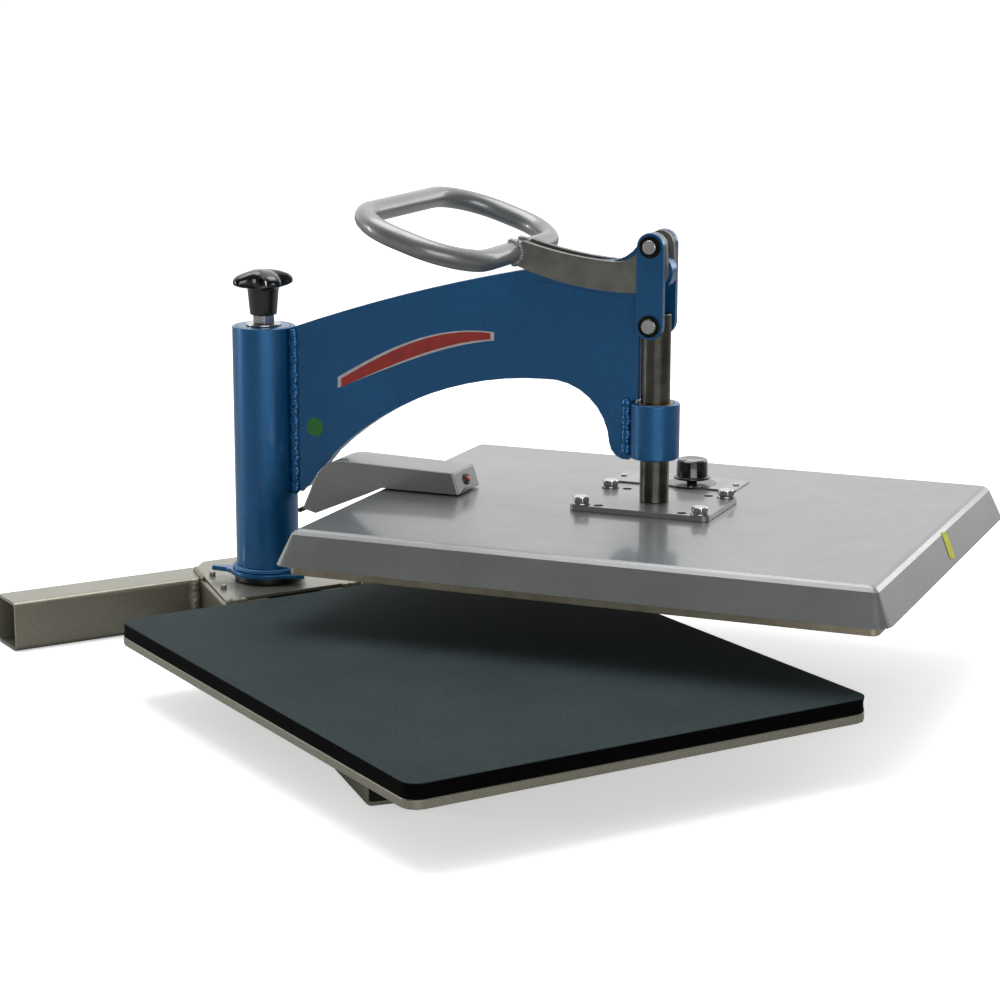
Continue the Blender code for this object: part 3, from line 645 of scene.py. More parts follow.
def refine(node: str, finish: Finish, edge_mm: float = 0.4, segments: int = 2, angle: float = 35.0,
           smooth_angle: float = 38.0) -> bpy.types.Object:
    """Replaces a CAD node by a copy of it with rounded edges.

    Args:
        node: the CAD node's name.
        finish: the copy's finish.
        edge_mm: width of the rounding.
        segments: steps across the rounding.
        angle: edges sharper than this are rounded, in degrees.
        smooth_angle: edges flatter than this are shaded smooth, in degrees.

    Returns:
        The new piece.
    """
    piece = copy_node(node)
    if edge_mm > 0:
        round_edges(piece, edge_mm / 1000, segments, angle)
    smooth(piece, smooth_angle)
    keep_flats_flat(piece)
    finish_piece(piece, f"{node}_finished", finish, BODY_OF[node])
    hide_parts(node)
    return piece


def repaint(node: str, finish: Finish) -> None:
    """Gives a CAD node that stays in view its finish.

    Args:
        node: the CAD node's name.
        finish: its finish.
    """
    for slot in frame["nodes"][node].material_slots:
        slot.material = finish.material()
    LOG.info("%s: repainted", node)


def weld(name: str, start: Vector, end: Vector, half_width: float, height: float, facing: Vector,
         finish: Finish, body: str, to_world: Matrix = WORLD) -> bpy.types.Object:
    """A fillet weld: a row of flattened, overlapping and slightly uneven drops of metal.

    Args:
        name: the piece's name.
        start: middle of the first drop.
        end: middle of the last drop.
        half_width: half the bead's width.
        height: how far the bead stands out of the surface.
        facing: the way that the surface faces.
        finish: its finish.
        body: the body that it rides on.
        to_world: takes its own frame to the row's frame.

    Returns:
        The bead.
    """
    along = Vector(end) - Vector(start)
    count = max(2, round(along.length / (half_width * 0.34)) + 1)
    clear_selection()
    bpy.ops.mesh.primitive_uv_sphere_add(segments=12, ring_count=8, radius=1)
    piece = active()
    with editing(piece):
        bpy.ops.transform.resize(value=(half_width * 0.8, half_width, height))
    apply_modifier(piece, "ARRAY", count=count, use_relative_offset=False, use_constant_offset=True,
                   constant_offset_displace=(along.length / (count - 1), 0.0, 0.0))
    ripple_drops(piece, half_width)
    x_axis = along.normalized()
    z_axis = (Vector(facing) - x_axis * x_axis.dot(Vector(facing))).normalized()
    turn = Matrix((x_axis, z_axis.cross(x_axis), z_axis)).transposed().to_4x4()
    piece.matrix_world = Matrix.Translation(start) @ turn
    smooth(piece, 80)
    return finish_piece(piece, name, finish, body, to_world)


def ripple_drops(piece: bpy.types.Object, size: float) -> None:
    """Makes a bead's drops uneven, as a hand-held torch leaves them.

    Args:
        piece: the bead, lying along X.
        size: half its width, which sets the spacing of the ripples.
    """
    for vertex in piece.data.vertices:
        along = vertex.co.x / size
        vertex.co.y *= 1.0 + 0.12 * math.sin(1.9 * along) + 0.09 * math.sin(4.7 * along + 1.0)
        vertex.co.z *= 1.0 + 0.15 * math.sin(2.3 * along + 0.5) + 0.12 * math.sin(5.9 * along)


def ring_weld(name: str, centre: Vector, reach: float, radius: float, finish: Finish, body: str,
              to_world: Matrix, first: float = 0.0, sweep: float = 360.0) -> bpy.types.Object:
    """A weld bead round an upright tube.

    Args:
        name: the piece's name.
        centre: centre of the bead's circle.
        reach: radius of the bead's circle.
        radius: half the bead's width.
        finish: its finish.
        body: the body that it rides on.
        to_world: takes its own frame to the row's frame.
        first: angle of the first drop, in degrees.
        sweep: how far round the bead goes, in degrees.

    Returns:
        The bead.
    """
    length = math.radians(sweep) * reach
    count = max(2, round(length / (radius * 0.7)))
    clear_selection()
    angle = math.radians(first)
    spot = (reach * math.cos(angle), reach * math.sin(angle), 0.0)
    bpy.ops.mesh.primitive_uv_sphere_add(segments=8, ring_count=6, radius=radius, location=spot)
    piece = active()
    with editing(piece):
        bpy.ops.mesh.spin(steps=count, angle=math.radians(sweep) * (count - 1) / count, dupli=True,
                          center=(0, 0, 0), axis=(0, 0, 1))
    settle(piece, Matrix.Translation(centre))
    smooth(piece, 80)
    return finish_piece(piece, name, finish, body, to_world)


# ---------------------------------------------------------------- sub-assemblies

@dataclass
class BaseFrame:
    """The welded tube frame: cross tube, two legs, top plate, column and thrust washer."""

    tube: float = 0.046
    leg_splay: float = math.radians(11.85)
    leg_start: float = 0.0267
    leg_bead: tuple[float, float] = (0.0056, 0.0030)        # each bead's half width and height
    front_bead: tuple[float, float] = (0.0030, 0.0022)
    side_bead: tuple[float, float] = (0.0028, 0.0016)
    front_ends: tuple[Vector, Vector] = (Vector((0.0685, -0.1218, 0.0470)), Vector((0.0510, -0.1222, 0.0470)))
    side_ends: tuple[Vector, Vector] = (Vector((0.0420, 0.0045, 0.0478)), Vector((0.0500, -0.0300, 0.0478)))
    pin_places: tuple[tuple[float, float], ...] = ((-0.0414, -0.0326), (-0.0535, -0.0823))
    pin_radius: float = 0.0030
    pin_height: float = 0.0042
    pin_middle: float = 0.0510

    def build(self) -> None:
        """Dresses the tubes and plate, and lays the welds between them."""
        for node in ("rear_cross_tube", "front_leg_left", "front_leg_right"):
            refine(node, FRAME_SILVER, 0.35, 2)
        refine("base_top_plate", FRAME_SILVER, 0.8)
        repaint("column", DARK_STEEL)
        refine("thrust_washer", WASHER_BLACK, 1.0, 3)
        self.lay_welds()
        self.add_stop_pins()

    def lay_welds(self) -> None:
        """Beads where the legs meet the cross tube, and round the front corners of the top plate."""
        for side, word in ((-1, "left"), (1, "right")):
            outer = side * (self.leg_start + self.tube / 2 / math.cos(self.leg_splay) + 0.0065)
            across = Vector((side, 1.0, 1.0))
            low = Vector((outer, -self.tube / 2 - 0.0006, 0.0055))
            high = Vector((outer, -self.tube / 2 - 0.0006, self.tube - 0.004))
            weld(f"weld_leg_{word}", low, high, *self.leg_bead, Vector((side * 0.45, -1.0, 0.0)),
                 FRAME_SILVER, "base")
            start, end = (spot * across for spot in self.front_ends)
            weld(f"weld_plate_{word}", start, end, *self.front_bead, Vector((0.0, -1.0, 0.6)), FRAME_SILVER,
                 "base")
            start, end = (spot * across for spot in self.side_ends)
            weld(f"weld_side_{word}", start, end, *self.side_bead, Vector((side, 0.0, 0.5)), FRAME_SILVER,
                 "base")

    def add_stop_pins(self) -> None:
        """Two small pins in the top plate, by its left edge, that the flange's tab comes to rest against."""
        for index, (x, y) in enumerate(self.pin_places):
            clear_selection()
            bpy.ops.mesh.primitive_cylinder_add(vertices=20, radius=self.pin_radius, depth=self.pin_height,
                                                location=(x, y, self.pin_middle))
            piece = active()
            with editing(piece, lambda face: face.normal.z > 0.9):
                bpy.ops.mesh.inset(thickness=0.0011, depth=-0.0008)
            round_edges(piece, 0.0003, 2)
            smooth(piece)
            finish_piece(piece, f"stop_pin_{index + 1}", FRAME_SILVER, "base")


@dataclass
class Table:
    """The table's plate and its sponge pad."""

    width: float = 0.410
    depth: float = 0.508
    corner: float = 0.013
    centre_y: float = -0.448
    low: float = 0.0540
    high: float = 0.0662
    pull_in: float = 0.0007

    def build(self) -> None:
        """Dresses the plate and models the pad."""
        refine("table_plate", FRAME_SILVER, 0.9, 3)
        self.build_pad()

    def build_pad(self) -> None:
        """Models a sheet of sponge: rounded corners, a soft top edge and slightly hollow sides."""
        height = self.high - self.low
        piece = add_block((self.width, self.depth, height), (0, self.centre_y, self.low + height / 2))
        edit(piece, "EDGE")
        bpy.ops.mesh.select_all(action="DESELECT")
        leave_edit()
        for edge in piece.data.edges:
            a, b = (piece.data.vertices[i].co for i in edge.vertices)
            edge.select = abs(a.z - b.z) > height / 2
        edit(piece, "EDGE")
        bpy.ops.mesh.bevel(offset=self.corner, segments=6)
        leave_edit()
        with editing(piece, lambda face: abs(face.normal.z) < 0.2):
            bpy.ops.mesh.subdivide(number_cuts=3)
        self.soften(piece, height)
        round_edges(piece, 0.0008, 3, 50)
        smooth(piece, 60)
        finish_piece(piece, "table_pad_sponge", SPONGE, "base")
        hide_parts("table_pad")

    def soften(self, piece: bpy.types.Object, height: float) -> None:
        """Pulls the sides in half way up, as a cut sponge edge stands.

        Args:
            piece: the pad.
            height: its thickness.
        """
        for vertex in piece.data.vertices:
            share = (vertex.co.z - self.low) / height
            pull = self.pull_in * math.sin(math.pi * share)
            away = Vector((vertex.co.x, vertex.co.y - self.centre_y))
            if abs(away.x) > self.width / 2 - self.corner * 0.9:
                vertex.co.x -= math.copysign(pull, away.x)
            if abs(away.y) > self.depth / 2 - self.corner * 0.9:
                vertex.co.y -= math.copysign(pull, away.y)


@dataclass
class Arm:
    """The post, the arm plate and the rod's sleeve, with their welds and the film graphics."""

    half: float = 0.00635
    post_radius: float = 0.02915
    post_bead: tuple[float, float] = (0.0045, 0.0028)       # each bead's half width and height
    sleeve_bead: tuple[float, float] = (0.0040, 0.0030)
    stripe_ends: tuple[float, float] = (0.078, 0.232)
    stripe_low: float = 0.2415
    stripe_rise: float = 0.052
    stripe_steps: int = 48

    def build(self) -> None:
        """Dresses the arm's metal and adds its welds and films."""
        for node, finish, edge_mm, segments in (
                ("arm_plate", ARM_BLUE, 1.1, 3), ("post_tube", ARM_BLUE, 1.2, 3),
                ("rod_sleeve", ARM_BLUE, 1.6, 4),
                ("stop_flange", ARM_BLUE, 0.8, 2), ("post_cap", ARM_BLUE, 0.5, 2),
                ("lock_washer", ZINC, 0.4, 2),
                ("lock_nut", ZINC, 0.5, 2), ("rod_bush", BRONZE, 0.4, 2)):
            refine(node, finish, edge_mm, segments)
        for node in ("lower_bush", "upper_bush", "thrust_disc"):
            repaint(node, BRONZE)
        self.lay_welds()
        self.add_ledge()
        self.add_films()

    def lay_welds(self) -> None:
        """Fillet welds down both sides of the plate, and the bead round the post's foot."""
        for side in Side:
            word = side.name.lower()
            v = side.value * (self.half + 0.0004)
            facing = Vector((0.0, side.value, 0.0))
            for name, u, low, high, bead in (("post", 0.0335, 0.1375, 0.2845, self.post_bead),
                                             ("sleeve", 0.3570, 0.1985, 0.2440, self.sleeve_bead)):
                weld(f"weld_{name}_{word}", Vector((u, v, low)), Vector((u, v, high)), *bead, facing,
                     ARM_BLUE,
                     "head", ARM_TO_WORLD)
        ring_weld("weld_post_foot", Vector((0, 0, 0.0612)), self.post_radius + 0.0008, 0.0030, ARM_BLUE,
                  "head",
                  ARM_TO_WORLD)

    def add_ledge(self) -> None:
        """The lower edge of the shallow recess that the lever's cheeks swing in, on both faces."""
        start, end = Vector((0.2735, 0.0, 0.3444)), Vector((0.3615, 0.0, 0.3331))
        along = end - start
        for side in Side:
            piece = add_block((along.length, 0.0005, 0.0013))
            round_edges(piece, 0.0002, 2)
            smooth(piece)
            middle = (start + end) / 2 + Vector((0.0, side.value * (self.half + 0.0001), 0.0))
            tilt = Matrix.Rotation(math.atan2(-along.z, along.x), 4, "Y")
            piece.data.transform(Matrix.Translation(middle) @ tilt)
            finish_piece(piece, f"arm_ledge_{side.name.lower()}", ARM_BLUE, "head", ARM_TO_WORLD)

    def add_films(self) -> None:
        """A plain two-tone stripe along the arm's front face, and a plain round spot near the post."""
        self.stripe("arm_stripe_border", 0.0085, 0.00012, STRIPE_PALE, 0.0)
        self.stripe("arm_stripe", 0.0066, 0.00020, STRIPE_RED, 0.0035)
        self.spot("arm_spot", (0.0545, 0.1985), 0.0085, 0.00015, DOT_GREEN)

    def stripe(self, name: str, half_height: float, stand: float, finish: Finish, inset: float) -> None:
        """A film stripe that follows the arch and narrows to its ends.

        Args:
            name: the piece's name.
            half_height: half its height in the middle.
            stand: how far its face stands off the plate.
            finish: its finish.
            inset: how much shorter it is at each end.
        """
        first, last = self.stripe_ends[0] + inset, self.stripe_ends[1] - inset
        clear_selection()
        bpy.ops.mesh.primitive_grid_add(x_subdivisions=self.stripe_steps, y_subdivisions=4, size=1)
        piece = active()
        for vertex in piece.data.vertices:
            share = vertex.co.x + 0.5
            lift = 2 * vertex.co.y
            u = first + (last - first) * share
            middle = self.stripe_low + self.stripe_rise * math.sin(share * math.pi / 2 * 0.96)
            taper = (0.35 + 0.65 * math.sin(math.pi * min(1.0, 0.08 + share * 0.92))) ** 0.8
            vertex.co = Vector((u, -self.half - stand, middle + lift * half_height * taper))
        apply_modifier(piece, "SOLIDIFY", thickness=0.0001, offset=-1.0)
        smooth(piece, 30)
        finish_piece(piece, name, finish, "head", ARM_TO_WORLD)

    def spot(self, name: str, centre: tuple[float, float], radius: float, stand: float,
             finish: Finish) -> None:
        """A round film spot on the front face.

        Args:
            name: the piece's name.
            centre: its middle, along the arm and up.
            radius: its radius.
            stand: how far its face stands off the plate.
            finish: its finish.
        """
        clear_selection()
        bpy.ops.mesh.primitive_cylinder_add(vertices=40, radius=radius, depth=0.0001,
                                            location=(centre[0], -self.half - stand, centre[1]),
                                            rotation=(math.pi / 2, 0, 0))
        piece = active()
        apply_place(piece)
        with editing(piece, lambda face: face.normal.y < -0.9):
            bpy.ops.mesh.inset(thickness=radius * 0.18)
        smooth(piece, 30)
        finish_piece(piece, name, finish, "head", ARM_TO_WORLD)


@dataclass
class PressureControl:
    """The four-lobed knob and its screw."""

    levels: int = 2

    def build(self) -> None:
        """Rounds the knob with a subdivision surface and dresses the screw."""
        piece = copy_node("pressure_knob")
        with editing(piece):
            bpy.ops.mesh.tris_convert_to_quads()
        apply_modifier(piece, "BEVEL", width=0.0007, segments=2, limit_method="ANGLE",
                       angle_limit=math.radians(50), use_clamp_overlap=True)
        apply_modifier(piece, "SUBSURF", levels=self.levels, render_levels=self.levels)
        smooth(piece, 60)
        finish_piece(piece, "pressure_knob_finished", KNOB_BLACK, "pressure_knob")
        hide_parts("pressure_knob")
        repaint("pressure_screw", DARK_STEEL)


@dataclass
class Linkage:
    """The lever's cheeks, handle, links and pins."""

    handle_radius: float = 0.0095
    near: float = 0.251
    far: float = 0.141
    near_z: float = 0.369
    slope: float = 0.33
    half: float = 0.115
    bend: float = 0.050
    steps: int = 16
    pin_radius: float = 0.0060
    collar_step: float = 0.0010         # how far past the pin's radius its collar begins
    cheek_middle: float = 0.0118        # from the arm's middle plane to a cheek's outer edge
    bead: tuple[float, float] = (0.0031, 0.0026)

    def build(self) -> None:
        """Dresses the lever and links, models the handle and lays its welds."""
        for side in Side:
            word = side.name.lower()
            refine(f"lever_cheek_{word}", CHEEK_STEEL, 0.6, 2)
            refine(f"link_{word}", ARM_BLUE, 1.0, 3)
            refine(f"crank_ring_{word}", DARK_STEEL, 0.4, 2)
            self.darken_collar(refine(f"rod_pin_{word}", ZINC, 0.3, 2))
        refine("crank_pin", ZINC, 0.7, 3)
        repaint("pivot_pin", ZINC)
        self.build_handle()
        self.lay_welds()

    def darken_collar(self, pin: bpy.types.Object) -> None:
        """Gives the collar round a rod pin the black finish of the ring that it is.

        Args:
            pin: the pin, already in place.
        """
        low, high = (Vector(corner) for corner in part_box(pin.name.removesuffix("_finished")))
        middle = (low + high) / 2
        axis = (ARM_TO_WORLD.to_3x3() @ Vector((0, 1, 0))).normalized()
        pin.data.materials.append(DARK_STEEL.material())
        for face in pin.data.polygons:
            rim = [pin.data.vertices[index].co - middle for index in face.vertices]
            reach = max((spot - axis * spot.dot(axis)).length for spot in rim)
            face.material_index = int(reach > self.pin_radius + self.collar_step)

    def path(self) -> list[Vector]:
        """Works out the handle's centre line: a rounded loop that rises away from the pivot.

        Returns:
            Its points, in the arm's frame.
        """
        points = []
        length = (self.near - self.far) * math.sqrt(1 + self.slope ** 2)
        along = Vector((-1, 0, self.slope)).normalized()
        start = Vector((self.near, 0, self.near_z))
        ends = ((length, self.half), (length, -self.half), (0, -self.half), (0, self.half))
        for quarter, (a, v) in enumerate(ends):
            side_a, side_v = (1 if a else -1), math.copysign(1, v)
            centre = (a - side_a * self.bend, v - side_v * self.bend)
            for step in range(self.steps + 1):
                turn = math.radians(90) * step / self.steps
                if quarter in (0, 2):
                    offset = (math.sin(turn), math.cos(turn))
                else:
                    offset = (math.cos(turn), math.sin(turn))
                spot_a = centre[0] + side_a * self.bend * offset[0]
                spot_v = centre[1] + side_v * self.bend * offset[1]
                points.append(start + along * spot_a + Vector((0, spot_v, 0)))
        return points

    def build_handle(self) -> None:
        """A bent tube handle, swept round its centre line and made a mesh."""
        curve = bpy.data.curves.new("handle_path", "CURVE")
        curve.dimensions = "3D"
        curve.bevel_depth = self.handle_radius
        curve.bevel_resolution = 6
        spline = curve.splines.new("POLY")
        points = self.path()
        spline.points.add(len(points) - 1)
        for target, point in zip(spline.points, points):
            target.co = (*point, 1.0)
        spline.use_cyclic_u = True
        piece = bpy.data.objects.new("handle_loop_finished", curve)
        bpy.context.scene.collection.objects.link(piece)
        select_only(piece)
        bpy.ops.object.convert(target="MESH")
        piece = active()
        with editing(piece):
            bpy.ops.mesh.remove_doubles(threshold=1e-6)
            bpy.ops.mesh.normals_make_consistent(inside=False)
        smooth(piece, 60)
        finish_piece(piece, "handle_loop_finished", SILVER, "lever", ARM_TO_WORLD)
        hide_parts("handle_loop")

    def lay_welds(self) -> None:
        """Rough welds where the cheeks are joined to the handle's tube, over its top and down its side."""
        reach = self.handle_radius + 0.0004
        for side in Side:
            word = side.name.lower()
            for number, angle in enumerate(range(100, -80, -30)):
                turn, after = math.radians(angle), math.radians(angle - 30)
                start, end = (Vector((self.near + reach * math.cos(way), side.value * self.cheek_middle,
                                      self.near_z + reach * math.sin(way))) for way in (turn, after))
                facing = Vector((math.cos(turn), side.value * 0.8, math.sin(turn)))
                weld(f"weld_handle_{word}_{number + 1}", start, end, *self.bead, facing, SILVER, "lever",
                     ARM_TO_WORLD)


@dataclass
class Platen:
    """The rod, mount plate, cover and heated slab, with what lies between them."""

    label_centre: tuple[float, float, float] = (0.6388, 0.0146, 0.1372)
    label_size: tuple[float, float] = (0.0150, 0.0235)
    label_lean: float = math.radians(-12)
    skirt_fall: tuple[float, float] = (0.014, 0.030)        # how far the skirt goes out and down

    def build(self) -> None:
        """Dresses the platen's pieces and adds the label."""
        cover = refine("platen_cover", SILVER, 1.8, 4, 14, 50)
        refine("mount_plate", SILVER, 0.7, 3)
        refine("press_rod", ROD_STEEL, 0.6, 2)
        refine("heat_slab", MACHINED, 0.6, 2)
        for number in range(1, 5):
            refine(f"mount_bolt_{number}", ZINC, 0.35, 2)
            refine(f"mount_washer_{number}", ZINC, 0.35, 2)
        for node, finish in (("rod_cross_pin", ZINC), ("spacer_bar_1", ZINC), ("spacer_bar_2", ZINC),
                             ("heating_element", DARK_STEEL), ("insulation_blanket", GLASS_WOOL),
                             ("thermostat_body", ZINC)):
            repaint(node, finish)
        self.add_label(cover)

    def add_label(self, cover: bpy.types.Object) -> None:
        """A blank paper label stuck on the cover's end skirt.

        Args:
            cover: the finished cover.
        """
        clear_selection()
        bpy.ops.mesh.primitive_plane_add(size=1)
        piece = active()
        piece.scale = (self.label_size[0], self.label_size[1], 1)
        lean = math.atan2(*self.skirt_fall)
        apply_place(piece)
        with editing(piece):
            bpy.ops.mesh.bevel(offset=0.0015, segments=3, affect="VERTICES")
        # The label's long side runs down the skirt, a little askew, and its face looks out along the arm.
        turn = Matrix(((0, -math.sin(lean), math.cos(lean), 0), (1, 0, 0, 0),
                       (0, math.cos(lean), math.sin(lean), 0), (0, 0, 0, 1)))
        askew = Matrix.Rotation(self.label_lean, 4, "Z")
        piece.data.transform(ARM_TO_WORLD @ Matrix.Translation(self.label_centre) @ turn @ askew)
        with editing(piece):
            bpy.ops.mesh.subdivide(number_cuts=3)
        apply_modifier(piece, "SHRINKWRAP", target=cover, wrap_method="NEAREST_SURFACEPOINT",
                       wrap_mode="ABOVE_SURFACE", offset=0.0004)
        apply_modifier(piece, "SOLIDIFY", thickness=0.00012, offset=0.0)
        smooth(piece, 30)
        finish_piece(piece, "blank_label", LABEL_YELLOW, "platen")


@dataclass
class ControlBox:
    """The control box over the cover, with its lamp, gland and trim."""

    fold: float = 0.0022

    def build(self) -> None:
        """Dresses the box and its fittings."""
        box = copy_node("control_box")
        round_folds(box, self.fold, 4, 20)
        smooth(box, 45)
        keep_flats_flat(box)
        finish_piece(box, "control_box_finished", SILVER, BODY_OF["control_box"])
        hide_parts("control_box")
        refine("pilot_bezel", SATIN_BLACK, 0.3, 2)
        refine("pilot_lens", RED_LENS, 0.2, 2)
        refine("cord_gland", SATIN_BLACK, 0.4, 2)
        repaint("box_edge_trim", SATIN_BLACK)
        repaint("terminal_block", SATIN_BLACK)


@dataclass
class Dial:
    """The thermostat's scale plate with its marks, and the fluted knob."""

    centre: tuple[float, float] = (0.3828, 0.100)
    plate_top: float = 0.1530
    marks: int = 13
    flutes: int = 24
    skirt: float = 0.0168
    skirt_height: float = 0.0017
    body: float = 0.0143
    rises: tuple[tuple[float, float], ...] = ((0.0012, 0.0004), (0.0135, 0.0004), (0.0014, 0.0014))
    face_radius: float = 0.0225
    mark_reach: float = 0.0178
    flute_depth: float = 0.045          # as a share of the body's radius

    def build(self) -> None:
        """Dresses the plate, prints its marks and models the knob."""
        refine("dial_plate", DIAL_METAL, 0.25, 2)
        for number in (1, 2):
            refine(f"dial_screw_{number}", ZINC, 0.15, 2)
        self.print_face()
        self.print_marks()
        self.build_knob()

    def print_face(self) -> None:
        """The dark printed ring that the marks stand on."""
        clear_selection()
        bpy.ops.mesh.primitive_cylinder_add(vertices=56, radius=self.face_radius, depth=0.00012,
                                            location=(*self.centre, self.plate_top + 0.0001))
        piece = active()
        with editing(piece, lambda face: face.normal.z > 0.9):
            bpy.ops.mesh.inset(thickness=0.004)
        smooth(piece, 30)
        finish_piece(piece, "dial_face_print", PRINT_DARK, "platen", ARM_TO_WORLD)

    def print_marks(self) -> None:
        """White ticks round the knob, every third one long."""
        for index in range(self.marks):
            turn = math.radians(-150 + 300 * index / (self.marks - 1))
            length = 0.0036 if index % 3 == 0 else 0.0022
            reach = self.mark_reach + length / 2
            piece = add_block((length, 0.0007, 0.00008))
            round_edges(piece, 0.00002, 1)
            spot = Matrix.Translation((self.centre[0], self.centre[1], self.plate_top + 0.00022))
            piece.data.transform(spot @ Matrix.Rotation(turn, 4, "Z") @ Matrix.Translation((reach, 0, 0)))
            finish_piece(piece, f"dial_mark_{index + 1}", PRINT_WHITE, "platen", ARM_TO_WORLD)

    def build_knob(self) -> None:
        """A fluted knob on a skirt, with a white pointer line."""
        low = self.plate_top + 0.0045
        clear_selection()
        bpy.ops.mesh.primitive_cylinder_add(vertices=self.flutes * 4, radius=self.skirt,
                                            depth=self.skirt_height,
                                            location=(*self.centre, low + self.skirt_height / 2))
        piece = active()
        with editing(piece, lambda face: face.normal.z > 0.9):
            bpy.ops.mesh.inset(thickness=self.skirt - self.body - 0.0004)
            for rise, inset in self.rises:
                bpy.ops.mesh.extrude_region_move(TRANSFORM_OT_translate={"value": (0, 0, rise)})
                shrink = 1 - inset / self.body
                bpy.ops.transform.resize(value=(shrink, shrink, 1))
            bpy.ops.mesh.inset(thickness=0.0022, depth=-0.0004)
        self.cut_flutes(piece, low)
        with editing(piece, lambda face: face.normal.z < -0.9):
            bpy.ops.mesh.inset(thickness=self.skirt - 0.0049)
            bpy.ops.mesh.extrude_region_move(TRANSFORM_OT_translate={"value": (0, 0, -0.0041)})
        round_edges(piece, 0.00025, 2, 45)
        smooth(piece, 40)
        finish_piece(piece, "thermostat_knob_finished", KNOB_BLACK, "dial", ARM_TO_WORLD)
        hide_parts("thermostat_knob")
        self.add_pointer(low)

    def cut_flutes(self, piece: bpy.types.Object, low: float) -> None:
        """Draws every other pair of points on the body's wall in, which leaves upright flutes.

        Args:
            piece: the knob.
            low: height of the skirt's underside.
        """
        middle = Vector((*self.centre, 0))
        for vertex in piece.data.vertices:
            away = (vertex.co - middle).to_2d()
            if vertex.co.z < low + 0.0025 or away.length < self.body * 0.90:
                continue
            turn = math.atan2(away.y, away.x) * self.flutes / (2 * math.pi)
            if round(turn * 4) % 4 < 2:
                vertex.co.x -= away.x * self.flute_depth
                vertex.co.y -= away.y * self.flute_depth

    def add_pointer(self, low: float) -> None:
        """The white line across the knob's top.

        Args:
            low: height of the skirt's underside.
        """
        piece = add_block((0.0065, 0.0009, 0.0003))
        round_edges(piece, 0.0001, 2)
        top = low + self.skirt_height + sum(rise for rise, _ in self.rises)
        spot = Matrix.Translation((self.centre[0], self.centre[1], top + 0.00005))
        turn = Matrix.Rotation(math.radians(-150), 4, "Z")
        piece.data.transform(spot @ turn @ Matrix.Translation((0.0085, 0, 0)))
        finish_piece(piece, "thermostat_pointer", PRINT_WHITE, "dial", ARM_TO_WORLD)


# ---------------------------------------------------------------- stage

@dataclass(frozen=True)
class Softbox:
    """One soft area light: its place, what it is turned to, its size in metres and its power in watts."""

    name: str
    place: tuple[float, float, float]
    target: tuple[float, float, float]
    width: float
    height: float
    power: float


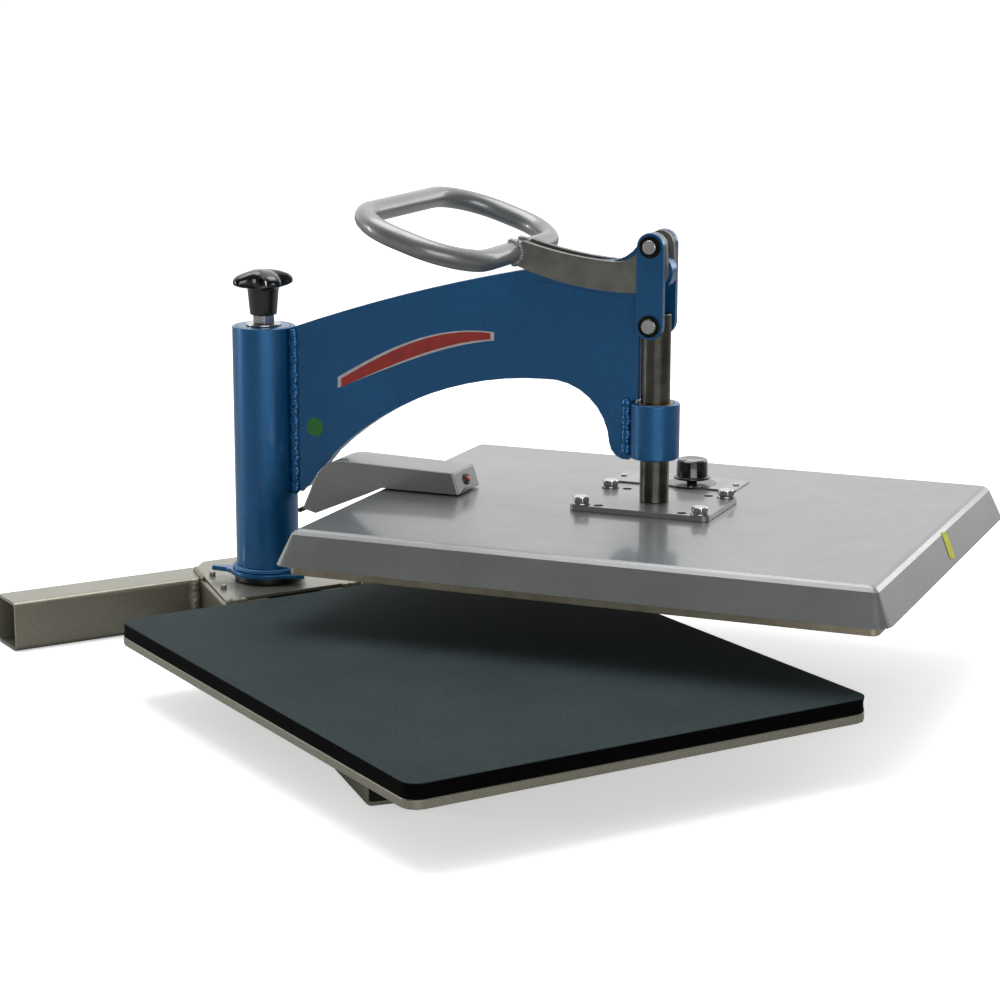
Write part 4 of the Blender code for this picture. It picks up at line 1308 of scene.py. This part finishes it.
@dataclass
class Studio:
    """Floor, backdrop, soft lights and camera."""

    eye: tuple[float, float, float] = (-1.03597, -2.18939, 0.64751)
    yaw: float = math.radians(31.3)
    pitch: float = math.radians(12.54)
    roll: float = math.radians(0.11)
    lens: float = 92.995
    floor_bounce: float = 0.38
    floor_glow: float = 0.50
    softboxes: tuple[Softbox, ...] = (
        Softbox("front", (-0.9, -3.0, 0.6), (0.05, -0.35, 0.2), 2.4, 1.0, 32.0),
        Softbox("strip_left", (-2.2, 1.5, 0.35), (0.0, -0.07, 0.2), 0.30, 1.0, 18.0),
        Softbox("rim_right", (2.7, 0.2, 1.2), (0.2, -0.3, 0.15), 0.6, 1.6, 8.0),
        Softbox("top", (0.1, 0.3, 2.8), (0.1, -0.3, 0.1), 2.4, 2.0, 56.0),
    )

    def build(self) -> None:
        """Builds the whole stage."""
        self.lay_floor()
        self.hang_lights()
        self.light_sky()
        self.set_camera()

    def lay_floor(self) -> None:
        """One wide pale floor."""
        clear_selection()
        bpy.ops.mesh.primitive_circle_add(vertices=64, radius=60, fill_type="NGON", location=(0, 0, 0))
        floor = active()
        floor.name = "studio_floor"
        made = bpy.data.materials.new("pale_matt_floor")
        made.use_nodes = True
        tree = made.node_tree
        shader = tree.nodes["Principled BSDF"]
        shader.inputs["Roughness"].default_value = 0.9
        shader.inputs["Specular IOR Level"].default_value = 0.0
        # The floor looks pale, but throws back less light than it shows, as if it stood far below.
        seen = add_node(tree, "ShaderNodeLightPath")
        tone = add_node(tree, "ShaderNodeMix",
                        {"data_type": "RGBA", 6: grey(self.floor_bounce), 7: grey(0.9)},
                        {0: (seen, "Is Camera Ray")})
        tree.links.new(tone.outputs[2], shader.inputs["Base Color"])
        glow = add_node(tree, "ShaderNodeMath", {"operation": "MULTIPLY", 1: self.floor_glow},
                        {0: (seen, "Is Camera Ray")})
        shader.inputs["Emission Color"].default_value = grey(1.0)
        tree.links.new(glow.outputs[0], shader.inputs["Emission Strength"])
        floor.data.materials.append(made)
        floor.location.z = -0.0002

    def hang_lights(self) -> None:
        """Large soft area lights, each turned to the press."""
        for box in self.softboxes:
            light = bpy.data.lights.new(f"softbox_{box.name}", "AREA")
            light.shape = "RECTANGLE"
            light.size, light.size_y, light.energy = box.width, box.height, box.power
            lamp = bpy.data.objects.new(f"softbox_{box.name}", light)
            lamp.location = box.place
            aim = Vector(box.target) - Vector(box.place)
            lamp.rotation_euler = aim.to_track_quat("-Z", "Y").to_euler()
            bpy.context.scene.collection.objects.link(lamp)

    def light_sky(self) -> None:
        """A pale sky, brighter behind the press and overhead than on the camera's side."""
        world = bpy.data.worlds.new("studio_sky")
        bpy.context.scene.world = world
        world.use_nodes = True
        tree = world.node_tree
        tree.nodes.clear()
        place = add_node(tree, "ShaderNodeTexCoord")
        aim = add_node(tree, "ShaderNodeVectorMath", {"operation": "DOT_PRODUCT", 1: (0.42, 0.70, 0.57)},
                       {0: (place, "Generated")})
        span = add_node(tree, "ShaderNodeMapRange", {1: -1.0, 2: 1.0}, {0: (aim, "Value")})
        tone = add_node(tree, "ShaderNodeValToRGB",
                        {"stops": [(0.30, grey(0.06)), (0.55, grey(0.20)), (0.72, grey(0.62)),
                                   (0.86, grey(1.15))]},
                        {"Fac": (span, 0)})
        seen = add_node(tree, "ShaderNodeLightPath")
        shown = add_node(tree, "ShaderNodeMix", {"data_type": "RGBA", 7: grey(1.0)},
                         {0: (seen, "Is Camera Ray"), 6: (tone, "Color")})
        sky = add_node(tree, "ShaderNodeBackground", {"Strength": 1.0}, {"Color": (shown, 2)})
        add_node(tree, "ShaderNodeOutputWorld", links={"Surface": (sky, "Background")})

    def set_camera(self) -> None:
        """The camera, with a long lens, a little above the arm."""
        lens = bpy.data.cameras.new("view")
        lens.sensor_width = 36
        lens.lens = self.lens
        lens.clip_end = 200
        camera = bpy.data.objects.new("view", lens)
        bpy.context.scene.collection.objects.link(camera)
        ahead = Vector((math.sin(self.yaw) * math.cos(self.pitch), math.cos(self.yaw) * math.cos(self.pitch),
                        -math.sin(self.pitch)))
        level = Vector((math.cos(self.yaw), -math.sin(self.yaw), 0))
        above = level.cross(ahead)
        right = level * math.cos(self.roll) + above * math.sin(self.roll)
        top = above * math.cos(self.roll) - level * math.sin(self.roll)
        turn = Matrix((right, top, -ahead)).transposed().to_4x4()
        camera.matrix_world = Matrix.Translation(self.eye) @ turn
        bpy.context.scene.camera = camera
        bpy.context.scene.view_settings.view_transform = "Standard"


def main() -> None:
    """Builds the sub-assemblies in order and reports each one."""
    logging.basicConfig(level=logging.INFO, format="%(name)s %(message)s")
    for kind in (BaseFrame, Table, Arm, PressureControl, Linkage, Platen, ControlBox, Dial, Studio):
        assembly = kind()
        assembly.build()
        LOG.info("%s done", type(assembly).__name__)


if __name__ == "__main__":
    main()
